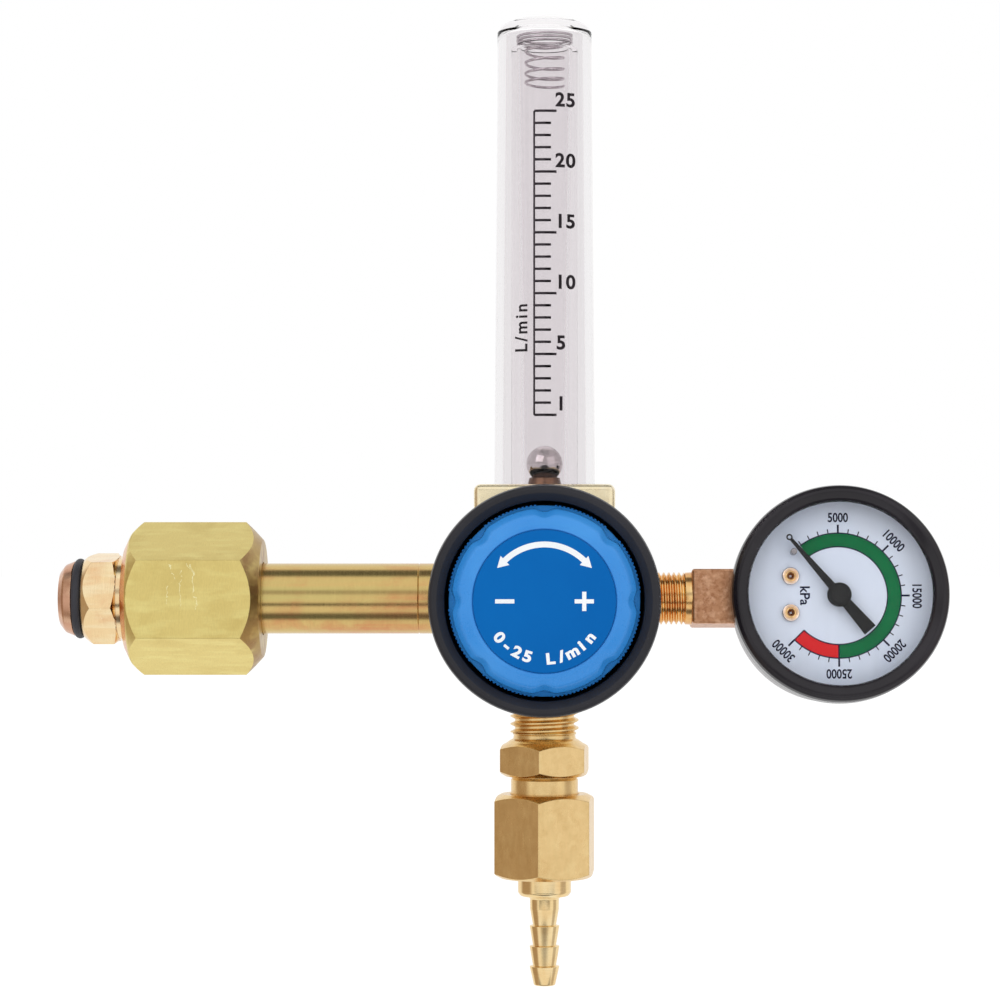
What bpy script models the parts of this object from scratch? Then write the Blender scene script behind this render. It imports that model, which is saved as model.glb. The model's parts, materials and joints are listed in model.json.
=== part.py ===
"""Gas regulator with a flow meter and a contents gauge.

Metres, +Z up. The inlet axis is the X axis and its nose is the origin. The knob and the dial face -Y.
"""
import math

import bmesh
import bpy
from mathutils import Matrix, Vector

# Gaps: between pieces that seat on each other, round a moving piece, and what a cutter runs past a face
FIT = 0.0003
RUN = 0.0003
OVER = 0.002
WELD = 0.000001

# Axes, from the inlet nose
BODY_X = 0.1238
GAUGE_X = 0.1984

# Inlet nipple
NOSE_FLAT_RADIUS = 0.0056
NOSE_ROUND = 0.0008
NOSE_LENGTH = 0.0035
NIPPLE_BORE_RADIUS = 0.0026
O_RING_WIRE = 0.0024
O_RING_PROUD = 0.00065
NIPPLE_HEX = 0.0213
NIPPLE_SHOULDER = 0.00105
NIPPLE_HEX_LENGTH = 0.0090
NIPPLE_HEX_CHAMFER = 0.0020
NIPPLE_HEX_TURN = -10.9
NIPPLE_SHANK_RADIUS = 0.0080
NIPPLE_SPIGOT_RADIUS = 0.0060
NIPPLE_SPIGOT_LENGTH = 0.0100
FILTER_LENGTH = 0.0050

# Inlet nut
INLET_NUT_HEX = 0.0340
INLET_NUT_LENGTH = 0.0351
INLET_NUT_PLAY = 0.0015
INLET_NUT_THREAD_LENGTH = 0.0200
INLET_NUT_FLANGE_CLEARANCE = 0.0005
INLET_NUT_FRONT_FACE = 0.0020
INLET_NUT_FRONT_CROWN = 0.0052
INLET_NUT_FRONT_CURVE = ((0.46, 0.36), (0.85, 0.75))
INLET_NUT_REAR_FACE = 0.0060
INLET_NUT_REAR_CROWN = 0.0040
INLET_NUT_REAR_CURVE = ((0.62, 0.45),)

# Inlet stem
STEM_RADIUS = 0.0090
STEM_BORE_RADIUS = 0.0025
STEM_FLANGE_WIDTH = 0.0015
STEM_FLANGE_LENGTH = 0.0050
STEM_GROOVE_SETBACK = 0.0060
STEM_GROOVE_DEPTH = 0.0004
STEM_SPIGOT_SHOULDER = 0.0010
STEM_SPIGOT_LENGTH = 0.0080

# Body forging
BLOCK_SIDE_WALL = 0.00485
BLOCK_FRONT_WALL = 0.00175
BLOCK_BACK_WALL = 0.00275
BLOCK_TOP = 0.0290
BLOCK_BOTTOM = -0.0180
BLOCK_ROUND = 0.0016
RIM_RADIUS = 0.0226
RIM_LENGTH = 0.0050
RIM_ROOT = 0.0060
RIM_LAND = 0.0032
LEFT_BOSS_WALL = 0.0032
LEFT_BOSS_LENGTH = 0.0077
RIGHT_BOSS_WALL = 0.00255
RIGHT_BOSS_LENGTH = 0.0096
BOTTOM_BOSS_WALL = 0.0026
BOTTOM_BOSS_LENGTH = 0.0090
CHAMBER_DEPTH = 0.0035
VALVE_BORE_RADIUS = 0.0052
VALVE_NECK_RADIUS = 0.0035
VALVE_NECK_LENGTH = 0.0062
PLUG_BORE_RADIUS = 0.0070
PLUG_BORE_DEPTH = 0.0080
PLUG_NOSE_LENGTH = 0.0020
DRILL_RADIUS = 0.0012
FEED_OUT = 0.0085
FEED_DROP = 0.0030
RETURN_TURN = 29.7
RETURN_FOOT = 0.0075
VENT_GAP = 0.0011

# Valve
NOZZLE_LENGTH = 0.0040
NOZZLE_BORE_RADIUS = 0.0016
POPPET_RADIUS = 0.0037
POPPET_LENGTH = 0.0035
POPPET_TAIL_RADIUS = 0.0016
POPPET_GUIDED = 0.0030
PIN_RADIUS = 0.0010
VALVE_LIFT = 0.0008
POPPET_SPRING_WIRE = 0.0006
POPPET_SPRING_TURNS = 4.0
PLUG_HEX = 0.0170
PLUG_HEAD_LENGTH = 0.0050
PLUG_CHAMFER = 0.0008

# Diaphragm stack
DIAPHRAGM_SETBACK = 0.0004
DIAPHRAGM_THICKNESS = 0.0008
DIAPHRAGM_RIPPLE = 0.0006
SLIP_RING_THICKNESS = 0.0008
SLIP_RING_WIDTH = 0.0034
PLATE_CLEARANCE = 0.0020
PLATE_THICKNESS = 0.0022
PLATE_BOSS_RADIUS = 0.0065
PLATE_BOSS_LENGTH = 0.0019

# Main spring and the nut that travels on the adjusting screw
MAIN_SPRING_LENGTH = 0.0115
MAIN_SPRING_RADIUS = 0.0095
MAIN_SPRING_WIRE = 0.0018
MAIN_SPRING_TURNS = 3.6
SPRING_NUT_THICKNESS = 0.0030
SPRING_NUT_BOSS_LENGTH = 0.0027
KEY_WIDTH = 0.0040
KEY_HOLD = 0.0008
SCREW_RADIUS = 0.0040
SCREW_THREAD_LENGTH = 0.0132
SCREW_COLLAR_RADIUS = 0.0065
SCREW_COLLAR_LENGTH = 0.0014
SCREW_NECK_RADIUS = 0.0047
SCREW_SQUARE_WALL = 0.0004
SCREW_TAP_DEPTH = 0.0060
WASHER_RADIUS = 0.0075
WASHER_THICKNESS = 0.0007

# Bonnet and guard ring
BONNET_SKIRT_WALL = 0.0019
BONNET_SKIRT_LENGTH = 0.0092
BONNET_TOWER_WALL = 0.0045
BONNET_TOP_THICKNESS = 0.0025
BONNET_CHAMFER = 0.0010
GUARD_WALL = 0.0030
GUARD_LIP_WIDTH = 0.0035
GUARD_LEDGE_CLEARANCE = 0.0005
GUARD_LEDGE_THICKNESS = 0.0016
GUARD_DEPTH = 0.0360
GUARD_ROUND = 0.0012
GUARD_FLARE = 0.0006

# Knob
KNOB_CLEARANCE = 0.0013
KNOB_WALL = 0.0026
KNOB_TOWER_CLEARANCE = 0.0012
KNOB_SKIRT_GAP = 0.0032
KNOB_PLATE_THICKNESS = 0.0042
KNOB_HUB_RADIUS = 0.0065
KNOB_HUB_LENGTH = 0.0019
KNOB_CROWN_WIDTH = 0.0055
KNOB_CROWN_DROP = 0.0052
KNOB_CROWN_CURVE = (0.35, 0.30)
KNOB_SCALLOPS = 8
KNOB_SCALLOP_RADIUS = 0.0100
KNOB_SCALLOP_DEPTH = 0.0012
KNOB_SCREW_HEAD_RADIUS = 0.0050
KNOB_SCREW_HEAD_LENGTH = 0.0012
KNOB_SCREW_RADIUS = 0.0020
KNOB_SCREW_LENGTH = 0.0050
KNOB_TURNS = 3.5
SCREW_PITCH = 0.00125
LABEL_MARGIN = 0.00095
LABEL_THICKNESS = 0.0006

# Flow meter
COVER_RADIUS = 0.01295
COVER_TAPER = 0.0009
COVER_SHOWN = 0.1198
COVER_DOME = 0.0039
COVER_DOME_STEPS = (0, 25, 50, 70)
COVER_DOME_POWER = 0.6
COVER_WALL = 0.0022
COVER_ROOF = 0.0029
SOCKET_DEPTH = 0.0080
GASKET_THICKNESS = 0.0015
GASKET_WIDTH = 0.0018
SEAT_FLANGE_THICKNESS = 0.0030
SEAT_BOSS_LENGTH = 0.0067
SEAT_CONE_ANGLE = 45.0
SEAT_CONE_DEPTH = 0.0013
SEAT_SLOT_DEPTH = 0.0012
METERING_GAP = 0.00135
METERING_BORE_SHARE = 0.5824
METERING_TAPER = 0.00125
METERING_HEADROOM = 0.0050
BALL_CLEARANCE = 0.0003
BUMPER_WIRE = 0.0007
BUMPER_SEAT_OUT = 0.00075
BUMPER_SLACK = 0.00015
BUMPER_WIDE_TURNS = 3.0
BUMPER_NARROW_TURNS = 5.0
BUMPER_HANG = 0.0100
BUMPER_STEP_TURNS = 0.6
BUMPER_CLOSING = 0.8

# Outlet
OUTLET_THREAD_RADIUS = 0.0086
OUTLET_PORT_DEPTH = 0.0090
OUTLET_THREAD_SHOWN = 0.0098
OUTLET_HEX = 0.0216
OUTLET_HEX_LENGTH = 0.0087
OUTLET_HEX_TURN = 6.0
OUTLET_NECK_LENGTH = 0.0045
OUTLET_BORE_RADIUS = 0.0030
OUTLET_CHAMFER = 0.0012
JET_LENGTH = 0.0040
JET_BORE_RADIUS = 0.0005
OUTLET_NUT_HEX = 0.0243
OUTLET_NUT_LENGTH = 0.0224
OUTLET_NUT_FLOOR = 0.0084
OUTLET_NUT_TURN = 6.0
TAIL_COLLAR_RADIUS = 0.00685
TAIL_COLLAR_SHOWN = 0.0038
TAIL_COLLAR_ROUND = 0.0013
TAIL_FLANGE_LENGTH = 0.0014
TAIL_RADIUS = 0.00372
TAIL_NECK_LENGTH = 0.0035
TAIL_BORE_RADIUS = 0.0017
BARB_PITCH = 0.0052
BARB_START = 0.0039
BARB_COUNT = 3
BARB_ROOT_RADIUS = 0.0030
TAIL_TIP_RADIUS = 0.0026

# Gauge outside
GAUGE_THREAD_RADIUS = 0.00665
GAUGE_THREAD_SHOWN = 0.0098
GAUGE_PORT_DEPTH = 0.0080
SOCKET_SQUARE = 0.0140
GAUGE_TURN = -6.0
CASE_RADIUS = 0.0262
CASE_WALL = 0.0010
CASE_FRONT = -0.0108
CASE_BACK = 0.0155
CASE_ROUND = 0.0020
BEZEL_WALL = 0.0010
BEZEL_FACE = 0.0018
BEZEL_COVER = 0.0031
BEZEL_LIP = 0.0018
BEZEL_ROUND = 0.0014
LENS_THICKNESS = 0.0015
LENS_GASKET_THICKNESS = 0.0015
LENS_GASKET_WIDTH = 0.0013
DIAL_THICKNESS = 0.0006
DIAL_SETBACK = 0.0028
DIAL_HOLE_RADIUS = 0.0016
DIAL_SCREW_OUT = 0.0121
DIAL_SCREW_APART = 0.0093
DIAL_SCREW_HEAD_RADIUS = 0.0022
DIAL_SCREW_HEAD = 0.0010
DIAL_SCREW_CUP = (0.55, 0.70)
DIAL_SCREW_RADIUS = 0.0010
DIAL_SCREW_LENGTH = 0.0050

# Pointer, at rest this many degrees anticlockwise of the top
POINTER_REST = 40.6
POINTER_HEIGHT = 0.0028
POINTER_THICKNESS = 0.0004
POINTER_CLEARANCE = 0.0031
POINTER_TAIL = 0.0118
POINTER_TIP_WIDTH = 0.0004
POINTER_ROOT_WIDTH = 0.0018
POINTER_TAIL_WIDTH = 0.0034
POINTER_HUB_RADIUS = 0.0031
POINTER_HUB_HEIGHT = 0.0012
POINTER_HUB_CROWN = 0.0009
STOP_PIN_INSET = 0.0042
STOP_PIN_RADIUS = 0.0008

# Gauge movement
TOOTH_MODULE = 0.00025
TOOTH_ROOT = 1.15
TOOTH_TIP = 0.80
TOOTH_ROOT_SHARE = 0.22
TOOTH_TIP_SHARE = 0.09
PINION_TEETH = 8
SECTOR_TEETH = 72
SECTOR_FROM = -6.0
SECTOR_TO = 37.0
SECTOR_THICKNESS = 0.0008
SECTOR_SETBACK = 0.0018
SECTOR_RIM = 0.0020
ARBOR_RADIUS = 0.0006
TAIL_PIN_OUT = 0.0050
TAIL_PIN_DROP = 0.0005
TAIL_PIN_RADIUS = 0.0005
LINK_LENGTH = 0.0043
LINK_WIDTH = 0.0024
SECTOR_TAIL_ROUND = 0.00126
LINK_THICKNESS = 0.0007
MOVEMENT_SETBACK = 0.0022
MOVEMENT_DEPTH = 0.0069
MOVEMENT_PLATE = 0.0010
MOVEMENT_LEFT = -0.0092
MOVEMENT_RIGHT = 0.0060
MOVEMENT_TOP = 0.0050
MOVEMENT_BOTTOM = -0.0130
PILLAR_RADIUS = 0.0010
CARRIER_SETBACK = 0.0005
CARRIER_REAR_GAP = 0.0065
CARRIER_END = -0.0098
CARRIER_WIDTH = 0.0120
CARRIER_LEDGE = 0.0074
CARRIER_LEDGE_WIDTH = 0.0092
SOCKET_NECK = 0.0100
GAUGE_BORE_RADIUS = 0.0012
BOURDON_RADIUS = 0.0170
BOURDON_WALL = 0.0016
BOURDON_DEPTH = 0.0055
BOURDON_GAP = 0.0005
BOURDON_STEPS = 20
BOURDON_CORNER = (0.4, 0.7)
BOURDON_FROM = 157.0
BOURDON_TO = -110.0

# Facets round a turn
FINE = 30
MEDIUM = 20
COARSE = 14
SMALL = 8
SECTION = 6

# What follows from the sizes above: out from the inlet axis
NIPPLE_RADIUS = NIPPLE_HEX / 2 - NIPPLE_SHOULDER
O_RING_RADIUS = NIPPLE_RADIUS + O_RING_PROUD
STEM_FLANGE_RADIUS = STEM_RADIUS + STEM_FLANGE_WIDTH
STEM_SPIGOT_RADIUS = STEM_RADIUS - STEM_SPIGOT_SHOULDER
INLET_NUT_THREAD_RADIUS = STEM_FLANGE_RADIUS + INLET_NUT_FLANGE_CLEARANCE
INLET_NUT_FRONT_RADIUS = INLET_NUT_THREAD_RADIUS + INLET_NUT_FRONT_FACE
INLET_NUT_REAR_RADIUS = STEM_RADIUS + INLET_NUT_REAR_FACE

# The block round the flow meter's socket, and its bosses round their ports
FLOW_SOCKET_RADIUS = COVER_RADIUS + FIT
BLOCK_WIDTH = 2 * (FLOW_SOCKET_RADIUS + BLOCK_SIDE_WALL)
BLOCK_FRONT = -FLOW_SOCKET_RADIUS - BLOCK_FRONT_WALL
BLOCK_BACK = FLOW_SOCKET_RADIUS + BLOCK_BACK_WALL
STEM_PORT_RADIUS = STEM_SPIGOT_RADIUS + FIT
GAUGE_PORT_RADIUS = GAUGE_THREAD_RADIUS + FIT
OUTLET_PORT_RADIUS = OUTLET_THREAD_RADIUS + FIT
LEFT_BOSS_RADIUS = STEM_PORT_RADIUS + LEFT_BOSS_WALL
RIGHT_BOSS_RADIUS = GAUGE_PORT_RADIUS + RIGHT_BOSS_WALL
BOTTOM_BOSS_RADIUS = OUTLET_PORT_RADIUS + BOTTOM_BOSS_WALL

# Out from the knob's axis: each sleeve round the one before it, then in again from the knob's bore
CHAMBER_RADIUS = RIM_RADIUS - RIM_LAND
DIAPHRAGM_RADIUS = RIM_RADIUS - DIAPHRAGM_SETBACK
BONNET_SKIRT_BORE_RADIUS = RIM_RADIUS + FIT
BONNET_SKIRT_RADIUS = BONNET_SKIRT_BORE_RADIUS + BONNET_SKIRT_WALL
GUARD_SLEEVE_RADIUS = BONNET_SKIRT_RADIUS + FIT
GUARD_RADIUS = GUARD_SLEEVE_RADIUS + GUARD_WALL
GUARD_LIP_RADIUS = GUARD_RADIUS - GUARD_LIP_WIDTH
KNOB_RADIUS = GUARD_LIP_RADIUS - KNOB_CLEARANCE
KNOB_FACE_RADIUS = KNOB_RADIUS - KNOB_CROWN_WIDTH
LABEL_RADIUS = KNOB_FACE_RADIUS - LABEL_MARGIN
KNOB_BORE_RADIUS = KNOB_RADIUS - KNOB_WALL
BONNET_TOWER_RADIUS = KNOB_BORE_RADIUS - KNOB_TOWER_CLEARANCE
GUARD_LEDGE_RADIUS = BONNET_TOWER_RADIUS + GUARD_LEDGE_CLEARANCE
BONNET_BORE_RADIUS = BONNET_TOWER_RADIUS - BONNET_TOWER_WALL
PLATE_RADIUS = BONNET_BORE_RADIUS - PLATE_CLEARANCE
SPRING_NUT_RADIUS = BONNET_BORE_RADIUS - PLATE_CLEARANCE
KEY_RADIUS = BONNET_BORE_RADIUS + KEY_HOLD
SCREW_TAP_RADIUS = KNOB_SCREW_RADIUS + FIT
SCREW_SQUARE = 2 * (SCREW_TAP_RADIUS + SCREW_SQUARE_WALL)
BONNET_NOSE_BORE_RADIUS = SCREW_NECK_RADIUS + RUN

# Along the inlet axis
NIPPLE_HEX_FROM = NOSE_LENGTH + O_RING_WIRE + FIT
NIPPLE_HEX_TO = NIPPLE_HEX_FROM + NIPPLE_HEX_LENGTH
INLET_NUT_FROM = NIPPLE_HEX_TO + INLET_NUT_PLAY
INLET_NUT_STEP = INLET_NUT_FROM + INLET_NUT_THREAD_LENGTH
STEM_FROM = INLET_NUT_STEP - FIT - STEM_FLANGE_LENGTH
NIPPLE_SHANK_TO = STEM_FROM - FIT
NIPPLE_END = NIPPLE_SHANK_TO + NIPPLE_SPIGOT_LENGTH
FILTER_FROM = NIPPLE_END + FIT
FILTER_SEAT = FILTER_FROM + FILTER_LENGTH + FIT
BODY_LEFT = BODY_X - BLOCK_WIDTH / 2 - LEFT_BOSS_LENGTH
STEM_SHOULDER = BODY_LEFT - FIT
STEM_END = STEM_SHOULDER + STEM_SPIGOT_LENGTH

# Along the knob's axis
RIM_FRONT = BLOCK_FRONT - RIM_LENGTH
CHAMBER_FLOOR = RIM_FRONT + CHAMBER_DEPTH
DIAPHRAGM_FRONT = RIM_FRONT - FIT - DIAPHRAGM_THICKNESS
SLIP_RING_FRONT = DIAPHRAGM_FRONT - FIT - SLIP_RING_THICKNESS
BONNET_SEAT = SLIP_RING_FRONT - FIT
PLATE_BACK = DIAPHRAGM_FRONT - FIT
PLATE_FRONT = PLATE_BACK - PLATE_THICKNESS
SPRING_BACK = PLATE_FRONT - FIT
SPRING_FRONT = SPRING_BACK - MAIN_SPRING_LENGTH
SPRING_NUT_BACK = SPRING_FRONT - FIT
SPRING_NUT_FRONT = SPRING_NUT_BACK - SPRING_NUT_THICKNESS
SCREW_BACK = SPRING_NUT_BACK + SPRING_NUT_THICKNESS + KNOB_TURNS * SCREW_PITCH + RUN
SCREW_THREAD_FRONT = SCREW_BACK - SCREW_THREAD_LENGTH
COLLAR_FRONT = SCREW_THREAD_FRONT - SCREW_COLLAR_LENGTH
WASHER_BACK = COLLAR_FRONT - FIT
WASHER_FRONT = WASHER_BACK - WASHER_THICKNESS
BONNET_INSIDE = WASHER_FRONT - FIT
BONNET_FRONT = BONNET_INSIDE - BONNET_TOP_THICKNESS
KNOB_HUB_BACK = BONNET_FRONT - RUN - FIT
KNOB_INSIDE = KNOB_HUB_BACK - KNOB_HUB_LENGTH
KNOB_FRONT = KNOB_INSIDE - KNOB_PLATE_THICKNESS
LABEL_FLOOR = KNOB_FRONT + LABEL_THICKNESS
LABEL_BACK = LABEL_FLOOR - FIT
KNOB_SCREW_FRONT = LABEL_FLOOR + FIT
KNOB_SCREW_SEAT = KNOB_SCREW_FRONT + KNOB_SCREW_HEAD_LENGTH
SCREW_FRONT = KNOB_SCREW_SEAT + 2 * FIT
SCREW_NECK_FRONT = KNOB_HUB_BACK + FIT
BONNET_BACK = BLOCK_FRONT - FIT
BONNET_SHOULDER = BONNET_BACK - BONNET_SKIRT_LENGTH
GUARD_BACK = BLOCK_FRONT - FIT
GUARD_FRONT = GUARD_BACK - GUARD_DEPTH
GUARD_LEDGE_BACK = BONNET_SHOULDER - FIT
GUARD_LEDGE_FRONT = GUARD_LEDGE_BACK - GUARD_LEDGE_THICKNESS
KNOB_SKIRT_BACK = GUARD_LEDGE_FRONT - KNOB_SKIRT_GAP
NOZZLE_FRONT = CHAMBER_FLOOR + VALVE_NECK_LENGTH + FIT
NOZZLE_BACK = NOZZLE_FRONT + NOZZLE_LENGTH
POPPET_FRONT = NOZZLE_BACK + FIT
POPPET_BACK = POPPET_FRONT + POPPET_LENGTH
PIN_FRONT = DIAPHRAGM_FRONT + DIAPHRAGM_THICKNESS + FIT
PLUG_SEAT = BLOCK_BACK - PLUG_BORE_DEPTH
PLUG_INSIDE = PLUG_SEAT - PLUG_NOSE_LENGTH
POPPET_END = PLUG_INSIDE + POPPET_GUIDED

# Up the flow meter
SOCKET_FLOOR = BLOCK_TOP - SOCKET_DEPTH
SEAT_BOTTOM = SOCKET_FLOOR + FIT
SEAT_FLANGE_TOP = SEAT_BOTTOM + SEAT_FLANGE_THICKNESS
SEAT_TOP = SEAT_FLANGE_TOP + SEAT_BOSS_LENGTH
GASKET_BOTTOM = SEAT_FLANGE_TOP + FIT
COVER_BOTTOM = GASKET_BOTTOM + GASKET_THICKNESS + FIT
METERING_BOTTOM = SEAT_FLANGE_TOP + FIT
COVER_TOP_RADIUS = COVER_RADIUS - COVER_TAPER
METERING_RADIUS = COVER_TOP_RADIUS - COVER_WALL - METERING_GAP
METERING_BORE_RADIUS = METERING_RADIUS * METERING_BORE_SHARE
METERING_TOP_BORE_RADIUS = METERING_BORE_RADIUS + METERING_TAPER
VENT_OUT = METERING_RADIUS + VENT_GAP
BALL_RADIUS = METERING_BORE_RADIUS - BALL_CLEARANCE
BUMPER_WIDE_RADIUS = METERING_TOP_BORE_RADIUS + BUMPER_SEAT_OUT
BUMPER_NARROW_RADIUS = METERING_BORE_RADIUS - BUMPER_SLACK
SEAT_CONE_RADIUS = (BALL_RADIUS + FIT) * math.sin(math.radians(SEAT_CONE_ANGLE))
SEAT_BORE_RADIUS = SEAT_CONE_RADIUS - SEAT_CONE_DEPTH
BALL_CENTRE = SEAT_TOP + (BALL_RADIUS + FIT) * math.cos(math.radians(SEAT_CONE_ANGLE))
COVER_APEX_Z = BLOCK_TOP + COVER_SHOWN
COVER_SHOULDER_Z = COVER_APEX_Z - COVER_DOME
COVER_CEILING = COVER_APEX_Z - COVER_ROOF
METERING_TOP_Z = COVER_CEILING - METERING_HEADROOM
BUMPER_WIDE_BOTTOM = METERING_TOP_Z + FIT
BUMPER_BOTTOM = METERING_TOP_Z - BUMPER_HANG

# Down the outlet
BODY_BOTTOM = BLOCK_BOTTOM - BOTTOM_BOSS_LENGTH
OUTLET_HEX_TOP = BODY_BOTTOM - OUTLET_THREAD_SHOWN
OUTLET_HEX_BOTTOM = OUTLET_HEX_TOP - OUTLET_HEX_LENGTH
OUTLET_TOP = BODY_BOTTOM + OUTLET_PORT_DEPTH - 3 * FIT
OUTLET_NUT_TOP = OUTLET_HEX_BOTTOM - OUTLET_NECK_LENGTH
OUTLET_NUT_BOTTOM = OUTLET_NUT_TOP - OUTLET_NUT_LENGTH
OUTLET_NUT_STEP = OUTLET_NUT_BOTTOM + OUTLET_NUT_FLOOR
TAIL_FLANGE_BOTTOM = OUTLET_NUT_STEP + FIT
TAIL_FLANGE_TOP = TAIL_FLANGE_BOTTOM + TAIL_FLANGE_LENGTH
OUTLET_SPIGOT_BOTTOM = TAIL_FLANGE_TOP + FIT
TAIL_COLLAR_BOTTOM = OUTLET_NUT_BOTTOM - TAIL_COLLAR_SHOWN
TAIL_NECK_BOTTOM = TAIL_COLLAR_BOTTOM - TAIL_NECK_LENGTH

# Along the gauge's socket, and inside the gauge, from its centre
BODY_RIGHT = BODY_X + BLOCK_WIDTH / 2 + RIGHT_BOSS_LENGTH
GAUGE_THREAD_TO = BODY_RIGHT + GAUGE_THREAD_SHOWN
GAUGE_SOCKET_FROM = BODY_RIGHT - GAUGE_PORT_DEPTH + FIT
CASE_LEFT = GAUGE_X - CASE_RADIUS
CASE_BORE_RADIUS = CASE_RADIUS - CASE_WALL
BEZEL_BORE_RADIUS = CASE_RADIUS + FIT
BEZEL_RADIUS = BEZEL_BORE_RADIUS + BEZEL_WALL
BEZEL_APERTURE_RADIUS = CASE_RADIUS - BEZEL_COVER
DIAL_RADIUS = CASE_BORE_RADIUS - FIT
POINTER_LENGTH = BEZEL_APERTURE_RADIUS - POINTER_CLEARANCE
STOP_PIN_OUT = POINTER_LENGTH - STOP_PIN_INSET
BEZEL_BACK = -SOCKET_SQUARE / 2 - FIT
LENS_GASKET_BACK = CASE_FRONT - FIT
LENS_GASKET_FRONT = LENS_GASKET_BACK - LENS_GASKET_THICKNESS
LENS_BACK = LENS_GASKET_FRONT - FIT
LENS_FRONT = LENS_BACK - LENS_THICKNESS
BEZEL_LEDGE = LENS_FRONT - FIT
BEZEL_FRONT = BEZEL_LEDGE - BEZEL_FACE
DIAL_FACE = CASE_FRONT + DIAL_SETBACK
DIAL_BACK = DIAL_FACE + DIAL_THICKNESS
CARRIER_FACE = DIAL_BACK + CARRIER_SETBACK
CARRIER_BACK = CASE_BACK - CASE_WALL - CARRIER_REAR_GAP
MOVEMENT_FRONT = DIAL_BACK + MOVEMENT_SETBACK
MOVEMENT_BACK = MOVEMENT_FRONT + MOVEMENT_DEPTH
BOURDON_FACE = MOVEMENT_BACK + BOURDON_GAP
SECTOR_FACE = MOVEMENT_FRONT + MOVEMENT_PLATE + SECTOR_SETBACK
POINTER_BACK = DIAL_FACE - POINTER_HEIGHT
POINTER_FRONT = POINTER_BACK - POINTER_THICKNESS
CENTRE_DISTANCE = TOOTH_MODULE * (PINION_TEETH + SECTOR_TEETH) / 2
SECTOR_BACK = SECTOR_FACE + SECTOR_THICKNESS
LINK_FACE = SECTOR_BACK + RUN
LINK_BACK = LINK_FACE + LINK_THICKNESS

AXES = {"X": Vector((1, 0, 0)), "Y": Vector((0, 1, 0)), "Z": Vector((0, 0, 1))}
KNOB_AT = (BODY_X, 0, 0)
TUBE_AT = (BODY_X, 0, 0)
GAUGE_AT = (GAUGE_X, 0, 0)
SECTOR_AT = (GAUGE_X, 0, -CENTRE_DISTANCE)
TAIL_PIN_AT = (GAUGE_X - TAIL_PIN_OUT, 0, -CENTRE_DISTANCE - TAIL_PIN_DROP)

# Colour, roughness and metallic value of each finish
FINISHES = {
    "nut_brass": ((0.62, 0.52, 0.20), 0.34, 1.0),
    "stem_brass": ((0.66, 0.50, 0.18), 0.22, 1.0),
    "nose_brass": ((0.72, 0.48, 0.28), 0.18, 1.0),
    "cast_brass": ((0.78, 0.62, 0.34), 0.42, 1.0),
    "outlet_brass": ((0.80, 0.58, 0.25), 0.30, 1.0),
    "socket_brass": ((0.62, 0.36, 0.17), 0.45, 1.0),
    "steel": ((0.72, 0.72, 0.73), 0.20, 1.0),
    "spring_steel": ((0.55, 0.55, 0.57), 0.30, 1.0),
    "black_rubber": ((0.02, 0.02, 0.02), 0.60, 0.0),
    "guard_black": ((0.03, 0.03, 0.035), 0.45, 0.0),
    "knob_blue": ((0.03, 0.22, 0.62), 0.30, 0.0),
    "label_blue": ((0.02, 0.24, 0.66), 0.35, 0.0),
    "clear_plastic": ((0.90, 0.88, 0.93), 0.08, 0.0),
    "black_gloss": ((0.015, 0.015, 0.015), 0.20, 0.0),
    "case_grey": ((0.60, 0.60, 0.62), 0.30, 1.0),
    "dial_white": ((0.86, 0.89, 0.92), 0.45, 0.0),
    "pointer_black": ((0.02, 0.02, 0.02), 0.50, 0.0),
    "bronze": ((0.60, 0.45, 0.28), 0.60, 1.0),
    "white_seal": ((0.80, 0.80, 0.78), 0.55, 0.0),
}


def finish(name):
    """Give the Principled material of one finish."""
    material = bpy.data.materials.get(name)
    if material:
        return material
    colour, roughness, metallic = FINISHES[name]
    material = bpy.data.materials.new(name)
    material.use_nodes = True
    shader = material.node_tree.nodes["Principled BSDF"]
    shader.inputs["Base Color"].default_value = (*colour, 1.0)
    shader.inputs["Roughness"].default_value = roughness
    shader.inputs["Metallic"].default_value = metallic
    material.diffuse_color = (*colour, 1.0)
    return material


def piece(name, bm, at, finish_name):
    """Turn a bmesh into an object at its axis, shaded smooth with sharp edges."""
    bmesh.ops.remove_doubles(bm, verts=bm.verts, dist=WELD)
    bmesh.ops.recalc_face_normals(bm, faces=bm.faces)
    mesh = bpy.data.meshes.new(name)
    bm.to_mesh(mesh)
    bm.free()
    mesh.shade_smooth()
    mesh.set_sharp_from_angle(angle=math.radians(30))
    mesh.materials.append(finish(finish_name))
    obj = bpy.data.objects.new(name, mesh)
    obj.location = at
    bpy.context.scene.collection.objects.link(obj)
    return obj


def combine(obj, tool, operation="DIFFERENCE"):
    """Cut, join or intersect a piece with a hidden tool."""
    tool.hide_render = True
    tool.display_type = "WIRE"
    tool.hide_set(True)
    modifier = obj.modifiers.new(tool.name, "BOOLEAN")
    modifier.operation = operation
    modifier.object = tool
    modifier.solver = "EXACT"
    return obj


def lathe(name, profile, axis, at, finish_name, steps=MEDIUM):
    """Turn (radius, place along the axis) points about an axis; it is solid if it starts at radius 0."""
    place = {
        "X": lambda radius, along: (along, 0, radius),
        "Y": lambda radius, along: (radius, along, 0),
        "Z": lambda radius, along: (radius, 0, along),
    }[axis]
    bm = bmesh.new()
    points = [bm.verts.new(place(radius, along)) for radius, along in profile]
    pairs = list(zip(points, points[1:]))
    if profile[0][0] > 0:
        pairs.append((points[-1], points[0]))
    edges = [bm.edges.new(pair) for pair in pairs]
    bmesh.ops.spin(
        bm, geom=points + edges, cent=(0, 0, 0), axis=AXES[axis],
        angle=2 * math.pi, steps=steps, use_merge=True,
    )
    return piece(name, bm, at, finish_name)


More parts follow.
